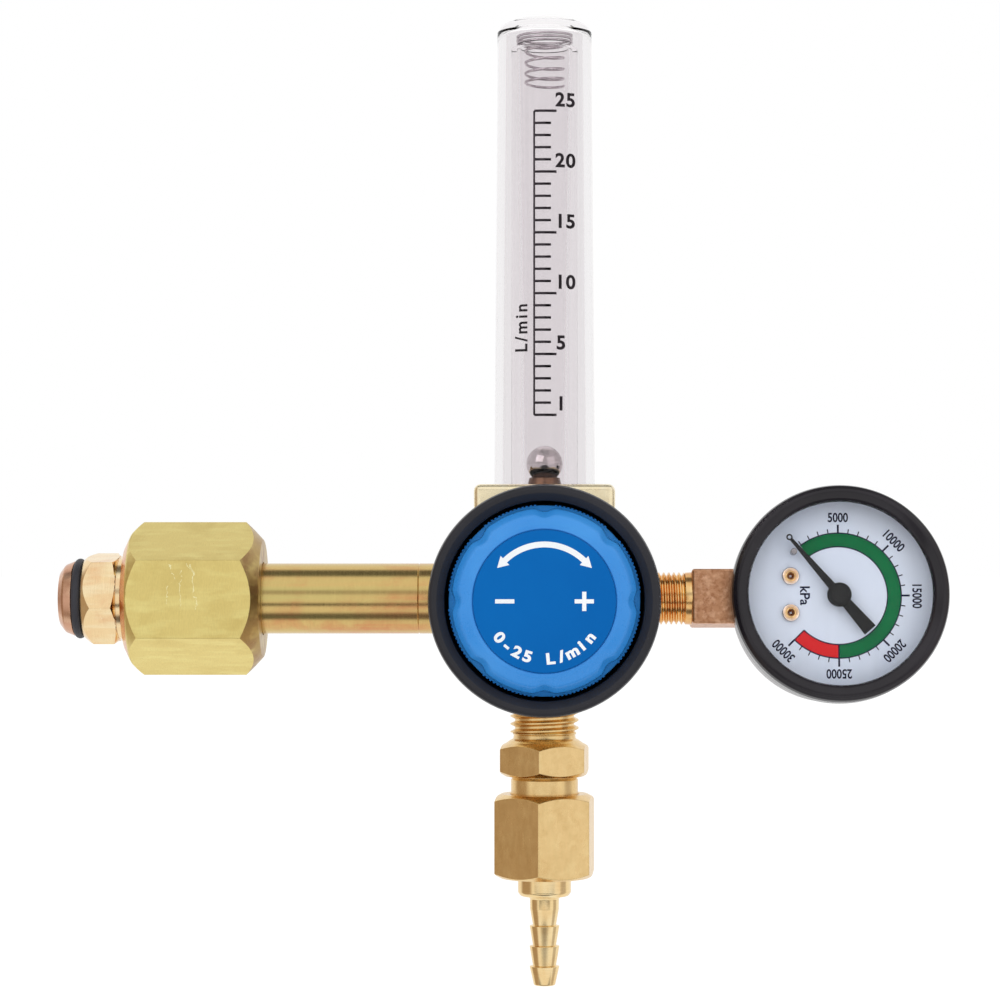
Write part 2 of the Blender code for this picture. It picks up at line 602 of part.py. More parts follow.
def rod(name, radius, start, end, axis, at, finish_name, steps=SMALL):
    """Make a plain cylinder between two places along an axis."""
    return lathe(name, [(0, start), (radius, start), (radius, end), (0, end)], axis, at, finish_name, steps)


def drilling(name, start, end, radius=DRILL_RADIUS, steps=SMALL):
    """Make a cylinder from one point to another, to cut a drilled passage."""
    start = Vector(start)
    run = Vector(end) - start
    bm = bmesh.new()
    turn = run.to_track_quat("Z", "Y").to_matrix().to_4x4()
    middle = Matrix.Translation(start + run / 2)
    bmesh.ops.create_cone(
        bm, cap_ends=True, segments=steps, radius1=radius, radius2=radius, depth=run.length,
        matrix=middle @ turn,
    )
    return piece(name, bm, (0, 0, 0), "cast_brass")


def box(name, low, high, at, finish_name, rounding=0.0, along=None):
    """Make a box between two corners, with the edges along one axis (or all edges) rounded."""
    low = Vector(low)
    high = Vector(high)
    size = high - low
    bm = bmesh.new()
    bmesh.ops.create_cube(bm, size=1.0)
    bmesh.ops.scale(bm, vec=size, verts=bm.verts)
    bmesh.ops.translate(bm, vec=(low + high) / 2, verts=bm.verts)
    if rounding:
        edges = bm.edges
        if along:
            edges = [
                edge for edge in bm.edges
                if abs((edge.verts[0].co - edge.verts[1].co).normalized().dot(AXES[along])) > 0.9
            ]
        bmesh.ops.bevel(
            bm, geom=list(edges), offset=rounding, segments=2, profile=0.5, affect="EDGES",
            clamp_overlap=True,
        )
    return piece(name, bm, at, finish_name)


def hexagon_tool(name, across_flats, start, end, axis, at, turn=0.0):
    """Make a hexagonal prism about an axis, turned by an angle, for turned blanks to be cut to."""
    bm = bmesh.new()
    bmesh.ops.create_cone(
        bm, cap_ends=True, segments=6, radius1=across_flats / math.sqrt(3),
        radius2=across_flats / math.sqrt(3), depth=end - start,
        matrix=Matrix.Translation((0, 0, (start + end) / 2)) @ Matrix.Rotation(math.radians(turn), 4, "Z"),
    )
    if axis == "X":
        bmesh.ops.rotate(bm, cent=(0, 0, 0), matrix=Matrix.Rotation(math.pi / 2, 3, "Y"), verts=bm.verts)
    if axis == "Y":
        bmesh.ops.rotate(bm, cent=(0, 0, 0), matrix=Matrix.Rotation(-math.pi / 2, 3, "X"), verts=bm.verts)
    return piece(name, bm, at, "nut_brass")


def sweep(name, centres, frames, section, at, finish_name):
    """Carry a closed section along centres, each with its own pair of side vectors, and cap both ends."""
    bm = bmesh.new()
    rings = []
    for centre, (across, along) in zip(centres, frames):
        rings.append([bm.verts.new(centre + across * u + along * v) for u, v in section])
    count = len(section)
    for first, second in zip(rings, rings[1:]):
        for index in range(count):
            after = (index + 1) % count
            bm.faces.new((first[index], first[after], second[after], second[index]))
    bm.faces.new(list(reversed(rings[0])))
    bm.faces.new(rings[-1])
    return piece(name, bm, at, finish_name)


def coil(name, radius_at, height_at, turns, wire, axis, at, finish_name, per_turn=10, sides=4):
    """Wind a wire about an axis; radius and height are functions of how many turns have passed."""
    count = int(round(turns * per_turn))
    across_axis = AXES[axis]
    first = AXES["X"] if axis != "X" else AXES["Y"]
    second = across_axis.cross(first)
    centres = []
    frames = []
    for index in range(count + 1):
        passed = turns * index / count
        angle = 2 * math.pi * passed
        outward = first * math.cos(angle) + second * math.sin(angle)
        centres.append(outward * radius_at(passed) + across_axis * height_at(passed))
        frames.append((outward, across_axis))
    section = [
        (wire / 2 * math.cos(2 * math.pi * side / sides), wire / 2 * math.sin(2 * math.pi * side / sides))
        for side in range(sides)
    ]
    return sweep(name, centres, frames, section, at, finish_name)


def plate(name, outline, front, back, at, finish_name):
    """Extrude an outline of (x, z) points between two places along Y."""
    bm = bmesh.new()
    face = bm.faces.new([bm.verts.new((x, front, z)) for x, z in outline])
    grown = bmesh.ops.extrude_face_region(bm, geom=[face])
    moved = [item for item in grown["geom"] if isinstance(item, bmesh.types.BMVert)]
    bmesh.ops.translate(bm, vec=(0, back - front, 0), verts=moved)
    return piece(name, bm, at, finish_name)


def arc(centre, radius, start, end, count):
    """Give points along an arc; angles in degrees, clockwise from the top as the front view shows them."""
    points = []
    for index in range(count + 1):
        angle = math.radians(start + (end - start) * index / count)
        points.append((centre[0] + radius * math.sin(angle), centre[1] + radius * math.cos(angle)))
    return points


def eased(share):
    """Ease from 0 to 1."""
    share = min(max(share, 0.0), 1.0)
    return share * share * (3 - 2 * share)


def make_inlet_nipple():
    blank = NIPPLE_HEX / math.sqrt(3)
    groove = O_RING_RADIUS - O_RING_WIRE - FIT
    crown = NIPPLE_HEX / 2 - NOSE_ROUND / 2
    nipple = lathe("inlet_nipple", [
        (NIPPLE_BORE_RADIUS, 0),
        (NOSE_FLAT_RADIUS, 0),
        (NOSE_FLAT_RADIUS + NOSE_ROUND, NOSE_ROUND / 2),
        (NIPPLE_RADIUS, NOSE_LENGTH),
        (groove, NOSE_LENGTH),
        (groove, NIPPLE_HEX_FROM),
        (crown, NIPPLE_HEX_FROM),
        (blank, NIPPLE_HEX_FROM + NIPPLE_HEX_CHAMFER),
        (blank, NIPPLE_HEX_TO - NIPPLE_HEX_CHAMFER / 2),
        (crown, NIPPLE_HEX_TO),
        (NIPPLE_SHANK_RADIUS, NIPPLE_HEX_TO),
        (NIPPLE_SHANK_RADIUS, NIPPLE_SHANK_TO),
        (NIPPLE_SPIGOT_RADIUS, NIPPLE_SHANK_TO),
        (NIPPLE_SPIGOT_RADIUS, NIPPLE_END),
        (NIPPLE_BORE_RADIUS, NIPPLE_END),
    ], "X", (0, 0, 0), "nose_brass", MEDIUM)
    tool = hexagon_tool(
        "inlet_nipple_hexagon", NIPPLE_HEX, -OVER, NIPPLE_END + OVER, "X", (0, 0, 0), NIPPLE_HEX_TURN,
    )
    combine(nipple, tool, "INTERSECT")
    centre = O_RING_RADIUS - O_RING_WIRE / 2
    middle = (NOSE_LENGTH + NIPPLE_HEX_FROM) / 2
    section = [
        (centre + O_RING_WIRE / 2 * math.cos(angle), middle + O_RING_WIRE / 2 * math.sin(angle))
        for angle in (2 * math.pi * side / SECTION for side in range(SECTION))
    ]
    lathe("nipple_o_ring", section, "X", (0, 0, 0), "black_rubber", COARSE)
    rod("inlet_filter", NIPPLE_SPIGOT_RADIUS, FILTER_FROM, FILTER_SEAT - FIT, "X", (0, 0, 0), "bronze")


def make_inlet_nut():
    corner = INLET_NUT_HEX / math.sqrt(3)
    start = INLET_NUT_FROM
    end = INLET_NUT_FROM + INLET_NUT_LENGTH
    front = corner - INLET_NUT_FRONT_RADIUS
    rear = corner - INLET_NUT_REAR_RADIUS
    nut = lathe("inlet_nut", [
        (INLET_NUT_THREAD_RADIUS, start),
        (INLET_NUT_FRONT_RADIUS, start),
        *[(INLET_NUT_FRONT_RADIUS + out * front, start + along * INLET_NUT_FRONT_CROWN)
          for out, along in INLET_NUT_FRONT_CURVE],
        (corner, start + INLET_NUT_FRONT_CROWN),
        (corner, end - INLET_NUT_REAR_CROWN),
        *[(INLET_NUT_REAR_RADIUS + out * rear, end - along * INLET_NUT_REAR_CROWN)
          for out, along in INLET_NUT_REAR_CURVE],
        (INLET_NUT_REAR_RADIUS, end),
        (STEM_RADIUS + RUN, end),
        (STEM_RADIUS + RUN, INLET_NUT_STEP),
        (INLET_NUT_THREAD_RADIUS, INLET_NUT_STEP),
    ], "X", (0, 0, 0), "nut_brass", FINE)
    tool = hexagon_tool("inlet_nut_hexagon", INLET_NUT_HEX, start - OVER, end + OVER, "X", (0, 0, 0), 30)
    combine(nut, tool, "INTERSECT")


def make_inlet_stem():
    groove = STEM_SHOULDER - STEM_GROOVE_SETBACK
    lathe("inlet_stem", [
        (NIPPLE_SPIGOT_RADIUS + FIT, STEM_FROM),
        (STEM_FLANGE_RADIUS, STEM_FROM),
        (STEM_FLANGE_RADIUS, STEM_FROM + STEM_FLANGE_LENGTH),
        (STEM_RADIUS, STEM_FROM + STEM_FLANGE_LENGTH),
        (STEM_RADIUS, groove - STEM_GROOVE_DEPTH),
        (STEM_RADIUS - STEM_GROOVE_DEPTH, groove),
        (STEM_RADIUS, groove + STEM_GROOVE_DEPTH),
        (STEM_RADIUS, STEM_SHOULDER),
        (STEM_SPIGOT_RADIUS, STEM_SHOULDER),
        (STEM_SPIGOT_RADIUS, STEM_END),
        (STEM_BORE_RADIUS, STEM_END),
        (STEM_BORE_RADIUS, FILTER_SEAT),
        (NIPPLE_SPIGOT_RADIUS + FIT, FILTER_SEAT),
    ], "X", (0, 0, 0), "stem_brass")


def make_body():
    """Forge the body: block, round front rim and three bosses, then bore its ports and passages."""
    half = BLOCK_WIDTH / 2
    body = box(
        "body", (-half, BLOCK_FRONT, BLOCK_BOTTOM), (half, BLOCK_BACK, BLOCK_TOP), KNOB_AT, "cast_brass",
        BLOCK_ROUND,
    )
    round_rim = rod(
        "body_rim", RIM_RADIUS, RIM_FRONT, BLOCK_FRONT + RIM_ROOT, "Y", KNOB_AT, "cast_brass", MEDIUM,
    )
    left = rod("body_left_boss", LEFT_BOSS_RADIUS, BODY_LEFT, BODY_X - half / 2, "X", (0, 0, 0),
               "cast_brass", COARSE)
    right = rod("body_right_boss", RIGHT_BOSS_RADIUS, BODY_X + half / 2, BODY_RIGHT, "X", (0, 0, 0),
                "cast_brass", COARSE)
    bottom = rod("body_bottom_boss", BOTTOM_BOSS_RADIUS, BODY_BOTTOM, BLOCK_BOTTOM / 2, "Z", TUBE_AT,
                 "cast_brass", COARSE)
    for boss in (round_rim, left, right, bottom):
        combine(body, boss, "UNION")
    turn = math.radians(RETURN_TURN)
    return_out = Vector((math.cos(turn), math.sin(turn), 0))
    return_top = Vector(TUBE_AT) + return_out * VENT_OUT + Vector((0, 0, SOCKET_FLOOR + OVER))
    return_foot = Vector(TUBE_AT) + return_out * RETURN_FOOT + Vector((0, 0, OUTLET_TOP - OVER))
    feed_top = (BODY_X, -FEED_OUT, SOCKET_FLOOR + OVER / 2)
    feed_foot = (BODY_X, CHAMBER_FLOOR - OVER / 2, CHAMBER_RADIUS - FEED_DROP)
    cutters = [
        rod("cut_chamber", CHAMBER_RADIUS, RIM_FRONT - OVER, CHAMBER_FLOOR, "Y", KNOB_AT, "cast_brass",
            MEDIUM),
        lathe("cut_valve", [
            (0, CHAMBER_FLOOR - OVER),
            (VALVE_NECK_RADIUS, CHAMBER_FLOOR - OVER),
            (VALVE_NECK_RADIUS, CHAMBER_FLOOR + VALVE_NECK_LENGTH),
            (VALVE_BORE_RADIUS, CHAMBER_FLOOR + VALVE_NECK_LENGTH),
            (VALVE_BORE_RADIUS, PLUG_SEAT),
            (PLUG_BORE_RADIUS, PLUG_SEAT),
            (PLUG_BORE_RADIUS, BLOCK_BACK + OVER),
            (0, BLOCK_BACK + OVER),
        ], "Y", KNOB_AT, "cast_brass", COARSE),
        lathe("cut_inlet", [
            (0, BODY_LEFT - OVER),
            (STEM_PORT_RADIUS, BODY_LEFT - OVER),
            (STEM_PORT_RADIUS, STEM_END + FIT),
            (STEM_BORE_RADIUS, STEM_END + FIT),
            (STEM_BORE_RADIUS, BODY_X),
            (0, BODY_X),
        ], "X", (0, 0, 0), "cast_brass", COARSE),
        lathe("cut_gauge", [
            (0, BODY_X),
            (GAUGE_BORE_RADIUS, BODY_X),
            (GAUGE_BORE_RADIUS, GAUGE_SOCKET_FROM - FIT),
            (GAUGE_PORT_RADIUS, GAUGE_SOCKET_FROM - FIT),
            (GAUGE_PORT_RADIUS, BODY_RIGHT + OVER),
            (0, BODY_RIGHT + OVER),
        ], "X", (0, 0, 0), "cast_brass", COARSE),
        rod("cut_outlet", OUTLET_PORT_RADIUS, BODY_BOTTOM - OVER, OUTLET_TOP + FIT, "Z", TUBE_AT,
            "cast_brass", COARSE),
        rod("cut_flow", FLOW_SOCKET_RADIUS, SOCKET_FLOOR, BLOCK_TOP + OVER, "Z", TUBE_AT, "cast_brass",
            MEDIUM),
        drilling("cut_feed", feed_top, feed_foot),
        drilling("cut_return", return_top, return_foot),
    ]
    for cutter in cutters:
        combine(body, cutter)


def make_valve():
    """Make the nozzle, the poppet with its pin, its spring and the plug that closes the back."""
    lathe("seat_nozzle", [
        (NOZZLE_BORE_RADIUS, NOZZLE_FRONT),
        (VALVE_BORE_RADIUS - FIT, NOZZLE_FRONT),
        (VALVE_BORE_RADIUS - FIT, NOZZLE_BACK - FIT),
        (NOZZLE_BORE_RADIUS + 3 * FIT, NOZZLE_BACK - FIT),
        (NOZZLE_BORE_RADIUS + 2 * FIT, NOZZLE_BACK),
        (NOZZLE_BORE_RADIUS, NOZZLE_BACK),
    ], "Y", KNOB_AT, "steel", COARSE)
    lathe("valve_poppet", [
        (0, PIN_FRONT),
        (PIN_RADIUS, PIN_FRONT),
        (PIN_RADIUS, POPPET_FRONT),
        (POPPET_RADIUS, POPPET_FRONT),
        (POPPET_RADIUS, POPPET_BACK),
        (POPPET_TAIL_RADIUS, POPPET_BACK),
        (POPPET_TAIL_RADIUS, POPPET_END),
        (0, POPPET_END),
    ], "Y", KNOB_AT, "outlet_brass", COARSE)
    spring_from = POPPET_BACK + FIT + POPPET_SPRING_WIRE / 2
    spring_to = PLUG_INSIDE - FIT - POPPET_SPRING_WIRE / 2
    coil(
        "poppet_spring", lambda passed: POPPET_RADIUS - POPPET_SPRING_WIRE,
        lambda passed: spring_from + (spring_to - spring_from) * passed / POPPET_SPRING_TURNS,
        POPPET_SPRING_TURNS, POPPET_SPRING_WIRE, "Y", KNOB_AT, "spring_steel",
    )
    head_from = BLOCK_BACK + FIT
    head_to = head_from + PLUG_HEAD_LENGTH
    corner = PLUG_HEX / math.sqrt(3)
    guide = POPPET_TAIL_RADIUS + RUN
    guide_end = POPPET_END + VALVE_LIFT + 2 * RUN
    plug = lathe("back_plug", [
        (0, head_to),
        (PLUG_HEX / 2 - FIT, head_to),
        (corner, head_to - PLUG_CHAMFER),
        (corner, head_from + PLUG_CHAMFER / 2),
        (PLUG_HEX / 2 - FIT, head_from),
        (PLUG_BORE_RADIUS - FIT, head_from),
        (PLUG_BORE_RADIUS - FIT, PLUG_SEAT + FIT),
        (VALVE_BORE_RADIUS - FIT, PLUG_SEAT + FIT),
        (VALVE_BORE_RADIUS - FIT, PLUG_INSIDE),
        (guide, PLUG_INSIDE),
        (guide, guide_end),
        (0, guide_end),
    ], "Y", KNOB_AT, "outlet_brass", COARSE)
    tool = hexagon_tool("back_plug_hexagon", PLUG_HEX, PLUG_INSIDE - OVER, head_to + OVER, "Y", KNOB_AT)
    combine(plug, tool, "INTERSECT")


def make_diaphragm():
    """Make the rippled diaphragm, the slip ring over its rim and the plate that the spring rests on."""
    back = DIAPHRAGM_FRONT + DIAPHRAGM_THICKNESS
    ripple = (PLATE_RADIUS + FIT, (PLATE_RADIUS + DIAPHRAGM_RADIUS - SLIP_RING_WIDTH) / 2,
              DIAPHRAGM_RADIUS - SLIP_RING_WIDTH)
    lathe("diaphragm", [
        (0, back),
        (ripple[0], back),
        (ripple[1], back + DIAPHRAGM_RIPPLE),
        (ripple[2], back),
        (DIAPHRAGM_RADIUS, back),
        (DIAPHRAGM_RADIUS, DIAPHRAGM_FRONT),
        (ripple[2], DIAPHRAGM_FRONT),
        (ripple[1], DIAPHRAGM_FRONT + DIAPHRAGM_RIPPLE),
        (ripple[0], DIAPHRAGM_FRONT),
        (0, DIAPHRAGM_FRONT),
    ], "Y", KNOB_AT, "black_rubber", COARSE)
    lathe("slip_ring", [
        (DIAPHRAGM_RADIUS - SLIP_RING_WIDTH, SLIP_RING_FRONT),
        (DIAPHRAGM_RADIUS, SLIP_RING_FRONT),
        (DIAPHRAGM_RADIUS, SLIP_RING_FRONT + SLIP_RING_THICKNESS),
        (DIAPHRAGM_RADIUS - SLIP_RING_WIDTH, SLIP_RING_FRONT + SLIP_RING_THICKNESS),
    ], "Y", KNOB_AT, "outlet_brass", COARSE)
    lathe("diaphragm_plate", [
        (0, PLATE_BACK),
        (PLATE_RADIUS, PLATE_BACK),
        (PLATE_RADIUS, PLATE_FRONT),
        (PLATE_BOSS_RADIUS, PLATE_FRONT),
        (PLATE_BOSS_RADIUS, PLATE_FRONT - PLATE_BOSS_LENGTH),
        (0, PLATE_FRONT - PLATE_BOSS_LENGTH),
    ], "Y", KNOB_AT, "case_grey", COARSE)


def make_spring_and_screw():
    """Make the main spring, the keyed nut that compresses it, and the screw that the knob turns."""
    start = SPRING_BACK - MAIN_SPRING_WIRE / 2
    end = SPRING_FRONT + MAIN_SPRING_WIRE / 2
    coil(
        "main_spring", lambda passed: MAIN_SPRING_RADIUS,
        lambda passed: start + (end - start) * passed / MAIN_SPRING_TURNS,
        MAIN_SPRING_TURNS, MAIN_SPRING_WIRE, "Y", KNOB_AT, "spring_steel", COARSE, SECTION,
    )
    boss_radius = MAIN_SPRING_RADIUS - MAIN_SPRING_WIRE / 2 - 2 * FIT
    nut = lathe("spring_nut", [
        (SCREW_RADIUS + RUN, SPRING_NUT_FRONT),
        (SPRING_NUT_RADIUS, SPRING_NUT_FRONT),
        (SPRING_NUT_RADIUS, SPRING_NUT_BACK),
        (boss_radius, SPRING_NUT_BACK),
        (boss_radius, SPRING_NUT_BACK + SPRING_NUT_BOSS_LENGTH),
        (SCREW_RADIUS + RUN, SPRING_NUT_BACK + SPRING_NUT_BOSS_LENGTH),
    ], "Y", KNOB_AT, "outlet_brass", COARSE)
    for side in (-1, 1):
        key = box(
            "spring_nut_key_%d" % (2 + side), (-KEY_WIDTH / 2, SPRING_NUT_FRONT + FIT, 0),
            (KEY_WIDTH / 2, SPRING_NUT_BACK - FIT, KEY_RADIUS - SPRING_NUT_RADIUS / 2), KNOB_AT,
            "outlet_brass",
        )
        key.location.z = SPRING_NUT_RADIUS / 2
        if side < 0:
            key.location.z = -KEY_RADIUS
        combine(nut, key, "UNION")
    screw = lathe("adjusting_screw", [
        (0, SCREW_BACK),
        (SCREW_RADIUS, SCREW_BACK),
        (SCREW_RADIUS, SCREW_THREAD_FRONT),
        (SCREW_COLLAR_RADIUS, SCREW_THREAD_FRONT),
        (SCREW_COLLAR_RADIUS, COLLAR_FRONT),
        (SCREW_NECK_RADIUS, COLLAR_FRONT),
        (SCREW_NECK_RADIUS, SCREW_FRONT),
        (SCREW_TAP_RADIUS, SCREW_FRONT),
        (SCREW_TAP_RADIUS, SCREW_FRONT + SCREW_TAP_DEPTH),
        (0, SCREW_FRONT + SCREW_TAP_DEPTH),
    ], "Y", KNOB_AT, "steel", COARSE)
    wide = 2 * SCREW_NECK_RADIUS
    flat = SCREW_SQUARE / 2
    for index, (across, up) in enumerate(((1, 0), (-1, 0), (0, 1), (0, -1))):
        centre = Vector((across, 0, up)) * (flat + wide / 2)
        half = Vector((wide / 2, 0, wide)) if across else Vector((wide, 0, wide / 2))
        low = centre - half
        high = centre + half
        cutter = box(
            "cut_screw_flat_%d" % (index + 1), (low.x, SCREW_FRONT - OVER, low.z),
            (high.x, SCREW_NECK_FRONT, high.z), KNOB_AT, "steel",
        )
        combine(screw, cutter)
    lathe("thrust_washer", [
        (BONNET_NOSE_BORE_RADIUS, WASHER_FRONT),
        (WASHER_RADIUS, WASHER_FRONT),
        (WASHER_RADIUS, WASHER_BACK),
        (BONNET_NOSE_BORE_RADIUS, WASHER_BACK),
    ], "Y", KNOB_AT, "white_seal", COARSE)


def make_bonnet():
    bonnet = lathe("bonnet", [
        (BONNET_SKIRT_BORE_RADIUS, BONNET_BACK),
        (BONNET_SKIRT_RADIUS, BONNET_BACK),
        (BONNET_SKIRT_RADIUS, BONNET_SHOULDER),
        (BONNET_TOWER_RADIUS, BONNET_SHOULDER),
        (BONNET_TOWER_RADIUS, BONNET_FRONT + BONNET_CHAMFER),
        (BONNET_TOWER_RADIUS - BONNET_CHAMFER, BONNET_FRONT),
        (BONNET_NOSE_BORE_RADIUS, BONNET_FRONT),
        (BONNET_NOSE_BORE_RADIUS, BONNET_INSIDE),
        (BONNET_BORE_RADIUS, BONNET_INSIDE),
        (BONNET_BORE_RADIUS, BONNET_SEAT),
        (BONNET_SKIRT_BORE_RADIUS, BONNET_SEAT),
    ], "Y", KNOB_AT, "cast_brass", MEDIUM)
    reach = KEY_RADIUS + RUN
    width = KEY_WIDTH / 2 + RUN
    keyway = box("cut_keyway", (-width, BONNET_INSIDE, -reach), (width, BONNET_SEAT + OVER, reach),
                 KNOB_AT, "cast_brass")
    combine(bonnet, keyway)


def make_guard_ring():
    """Mould the guard: a sleeve over the bonnet's skirt, a ledge, and a rounded lip round the knob."""
    lathe("guard_ring", [
        (GUARD_SLEEVE_RADIUS, GUARD_BACK),
        (GUARD_RADIUS - GUARD_FLARE - GUARD_ROUND, GUARD_BACK),
        (GUARD_RADIUS - GUARD_FLARE, GUARD_BACK - GUARD_ROUND),
        (GUARD_RADIUS, GUARD_FRONT + 3 * GUARD_ROUND),
        (GUARD_RADIUS - GUARD_ROUND / 4, GUARD_FRONT + 1.4 * GUARD_ROUND),
        (GUARD_RADIUS - GUARD_ROUND, GUARD_FRONT + GUARD_ROUND / 3),
        (GUARD_LIP_RADIUS + GUARD_ROUND, GUARD_FRONT),
        (GUARD_LIP_RADIUS, GUARD_FRONT + GUARD_ROUND),
        (GUARD_LIP_RADIUS, GUARD_LEDGE_FRONT),
        (GUARD_LEDGE_RADIUS, GUARD_LEDGE_FRONT),
        (GUARD_LEDGE_RADIUS, GUARD_LEDGE_BACK),
        (GUARD_SLEEVE_RADIUS, GUARD_LEDGE_BACK),
    ], "Y", KNOB_AT, "guard_black", FINE)


def make_knob():
    """Mould the knob: a skirted cup with shallow scallops, a square drive and a recess for the label."""
    shoulder = (KNOB_RADIUS - KNOB_CROWN_CURVE[0] * KNOB_CROWN_WIDTH,
                KNOB_FRONT + KNOB_CROWN_CURVE[1] * KNOB_CROWN_DROP)
    knob = lathe("knob", [
        (0, LABEL_FLOOR),
        (LABEL_RADIUS + FIT, LABEL_FLOOR),
        (LABEL_RADIUS + FIT, KNOB_FRONT),
        (KNOB_FACE_RADIUS, KNOB_FRONT),
        shoulder,
        (KNOB_RADIUS, KNOB_FRONT + KNOB_CROWN_DROP),
        (KNOB_RADIUS, KNOB_SKIRT_BACK),
        (KNOB_BORE_RADIUS, KNOB_SKIRT_BACK),
        (KNOB_BORE_RADIUS, KNOB_INSIDE),
        (KNOB_HUB_RADIUS, KNOB_INSIDE),
        (KNOB_HUB_RADIUS, KNOB_HUB_BACK),
        (0, KNOB_HUB_BACK),
    ], "Y", KNOB_AT, "knob_blue", FINE)
    for index in range(KNOB_SCALLOPS):
        angle = 2 * math.pi * (index + 0.5) / KNOB_SCALLOPS
        out = KNOB_RADIUS + KNOB_SCALLOP_RADIUS - KNOB_SCALLOP_DEPTH
        scallop = rod(
            "cut_scallop_%d" % (index + 1), KNOB_SCALLOP_RADIUS, KNOB_FRONT - OVER, KNOB_SKIRT_BACK + OVER,
            "Y", (BODY_X + out * math.cos(angle), 0, out * math.sin(angle)), "knob_blue", MEDIUM,
        )
        combine(knob, scallop)
    half = SCREW_SQUARE / 2 + FIT
    square = box("cut_knob_square", (-half, KNOB_SCREW_SEAT + FIT, -half), (half, KNOB_HUB_BACK + OVER, half),
                 KNOB_AT, "knob_blue")
    combine(knob, square)
    head = rod("cut_knob_screw", KNOB_SCREW_HEAD_RADIUS + FIT, LABEL_FLOOR - OVER, KNOB_SCREW_SEAT + 2 * FIT,
               "Y", KNOB_AT, "knob_blue", COARSE)
    combine(knob, head)
    lathe("knob_screw", [
        (0, KNOB_SCREW_FRONT),
        (KNOB_SCREW_HEAD_RADIUS, KNOB_SCREW_FRONT),
        (KNOB_SCREW_HEAD_RADIUS, KNOB_SCREW_SEAT),
        (KNOB_SCREW_RADIUS, KNOB_SCREW_SEAT),
        (KNOB_SCREW_RADIUS, KNOB_SCREW_SEAT + KNOB_SCREW_LENGTH),
        (0, KNOB_SCREW_SEAT + KNOB_SCREW_LENGTH),
    ], "Y", KNOB_AT, "steel", COARSE)
    rod("knob_label", LABEL_RADIUS, LABEL_BACK - LABEL_THICKNESS, LABEL_BACK, "Y", KNOB_AT, "label_blue",
        FINE)


def make_flow_meter():
    """Make the ball seat, the gasket, the tapered tube, the clear cover, the ball and its bumper spring."""
    seat_boss = METERING_BORE_RADIUS - FIT
    seat = lathe("ball_seat", [
        (SEAT_BORE_RADIUS, SEAT_BOTTOM),
        (COVER_RADIUS, SEAT_BOTTOM),
        (COVER_RADIUS, SEAT_FLANGE_TOP),
        (seat_boss, SEAT_FLANGE_TOP),
        (seat_boss, SEAT_TOP),
        (SEAT_CONE_RADIUS, SEAT_TOP),
        (SEAT_BORE_RADIUS, SEAT_TOP - SEAT_CONE_DEPTH),
    ], "Z", TUBE_AT, "outlet_brass", COARSE)
    slot = box("cut_seat_slot", (-DRILL_RADIUS, -FEED_OUT - DRILL_RADIUS, SEAT_BOTTOM - OVER),
               (DRILL_RADIUS, 0, SEAT_BOTTOM + SEAT_SLOT_DEPTH), TUBE_AT, "outlet_brass")
    combine(seat, slot)
    turn = math.radians(RETURN_TURN)
    vent = rod("cut_seat_vent", DRILL_RADIUS, SEAT_BOTTOM - OVER, SEAT_FLANGE_TOP + OVER, "Z",
               (BODY_X + VENT_OUT * math.cos(turn), VENT_OUT * math.sin(turn), 0), "outlet_brass")
    combine(seat, vent)
    lathe("cover_gasket", [
        (COVER_RADIUS - GASKET_WIDTH, GASKET_BOTTOM),
        (COVER_RADIUS, GASKET_BOTTOM),
        (COVER_RADIUS, GASKET_BOTTOM + GASKET_THICKNESS),
        (COVER_RADIUS - GASKET_WIDTH, GASKET_BOTTOM + GASKET_THICKNESS),
    ], "Z", TUBE_AT, "black_rubber", COARSE)
    lathe("metering_tube", [
        (METERING_BORE_RADIUS, METERING_BOTTOM),
        (METERING_RADIUS, METERING_BOTTOM),
        (METERING_RADIUS, METERING_TOP_Z),
        (METERING_TOP_BORE_RADIUS, METERING_TOP_Z),
    ], "Z", TUBE_AT, "clear_plastic", MEDIUM)
    outside = []
    for step in COVER_DOME_STEPS:
        angle = math.radians(step)
        out = COVER_TOP_RADIUS * math.cos(angle) ** COVER_DOME_POWER
        outside.append((out, COVER_SHOULDER_Z + COVER_DOME * math.sin(angle)))
    ceiling_radius = COVER_TOP_RADIUS - COVER_WALL
    lathe("tube_cover", [
        (0, COVER_CEILING),
        (ceiling_radius - COVER_WALL, COVER_CEILING - COVER_DOME / 8),
        (ceiling_radius, COVER_CEILING - COVER_DOME / 2),
        (COVER_RADIUS - COVER_WALL, COVER_BOTTOM),
        (COVER_RADIUS, COVER_BOTTOM),
        *outside,
        (0, COVER_APEX_Z),
    ], "Z", TUBE_AT, "clear_plastic", FINE)
    ball = bmesh.new()
    bmesh.ops.create_uvsphere(ball, u_segments=COARSE, v_segments=SMALL, radius=BALL_RADIUS)
    piece("flow_ball", ball, (BODY_X, 0, BALL_CENTRE), "steel")
    wide_from = BUMPER_WIDE_BOTTOM + BUMPER_WIRE / 2
    wide_to = COVER_CEILING - COVER_DOME / 4 - BUMPER_WIRE
    low = BUMPER_BOTTOM + BUMPER_WIRE / 2
    turns = BUMPER_WIDE_TURNS + BUMPER_NARROW_TURNS

    def height(passed):
        if passed <= BUMPER_NARROW_TURNS:
            return low + (wide_from - low) * (passed / BUMPER_NARROW_TURNS) ** BUMPER_CLOSING
        return wide_from + (wide_to - wide_from) * (passed - BUMPER_NARROW_TURNS) / BUMPER_WIDE_TURNS

    def radius(passed):
        share = eased((passed - BUMPER_NARROW_TURNS) / BUMPER_STEP_TURNS)
        return BUMPER_NARROW_RADIUS + (BUMPER_WIDE_RADIUS - BUMPER_NARROW_RADIUS) * share

    coil("bumper_spring", radius, height, turns, BUMPER_WIRE, "Z", TUBE_AT, "spring_steel")


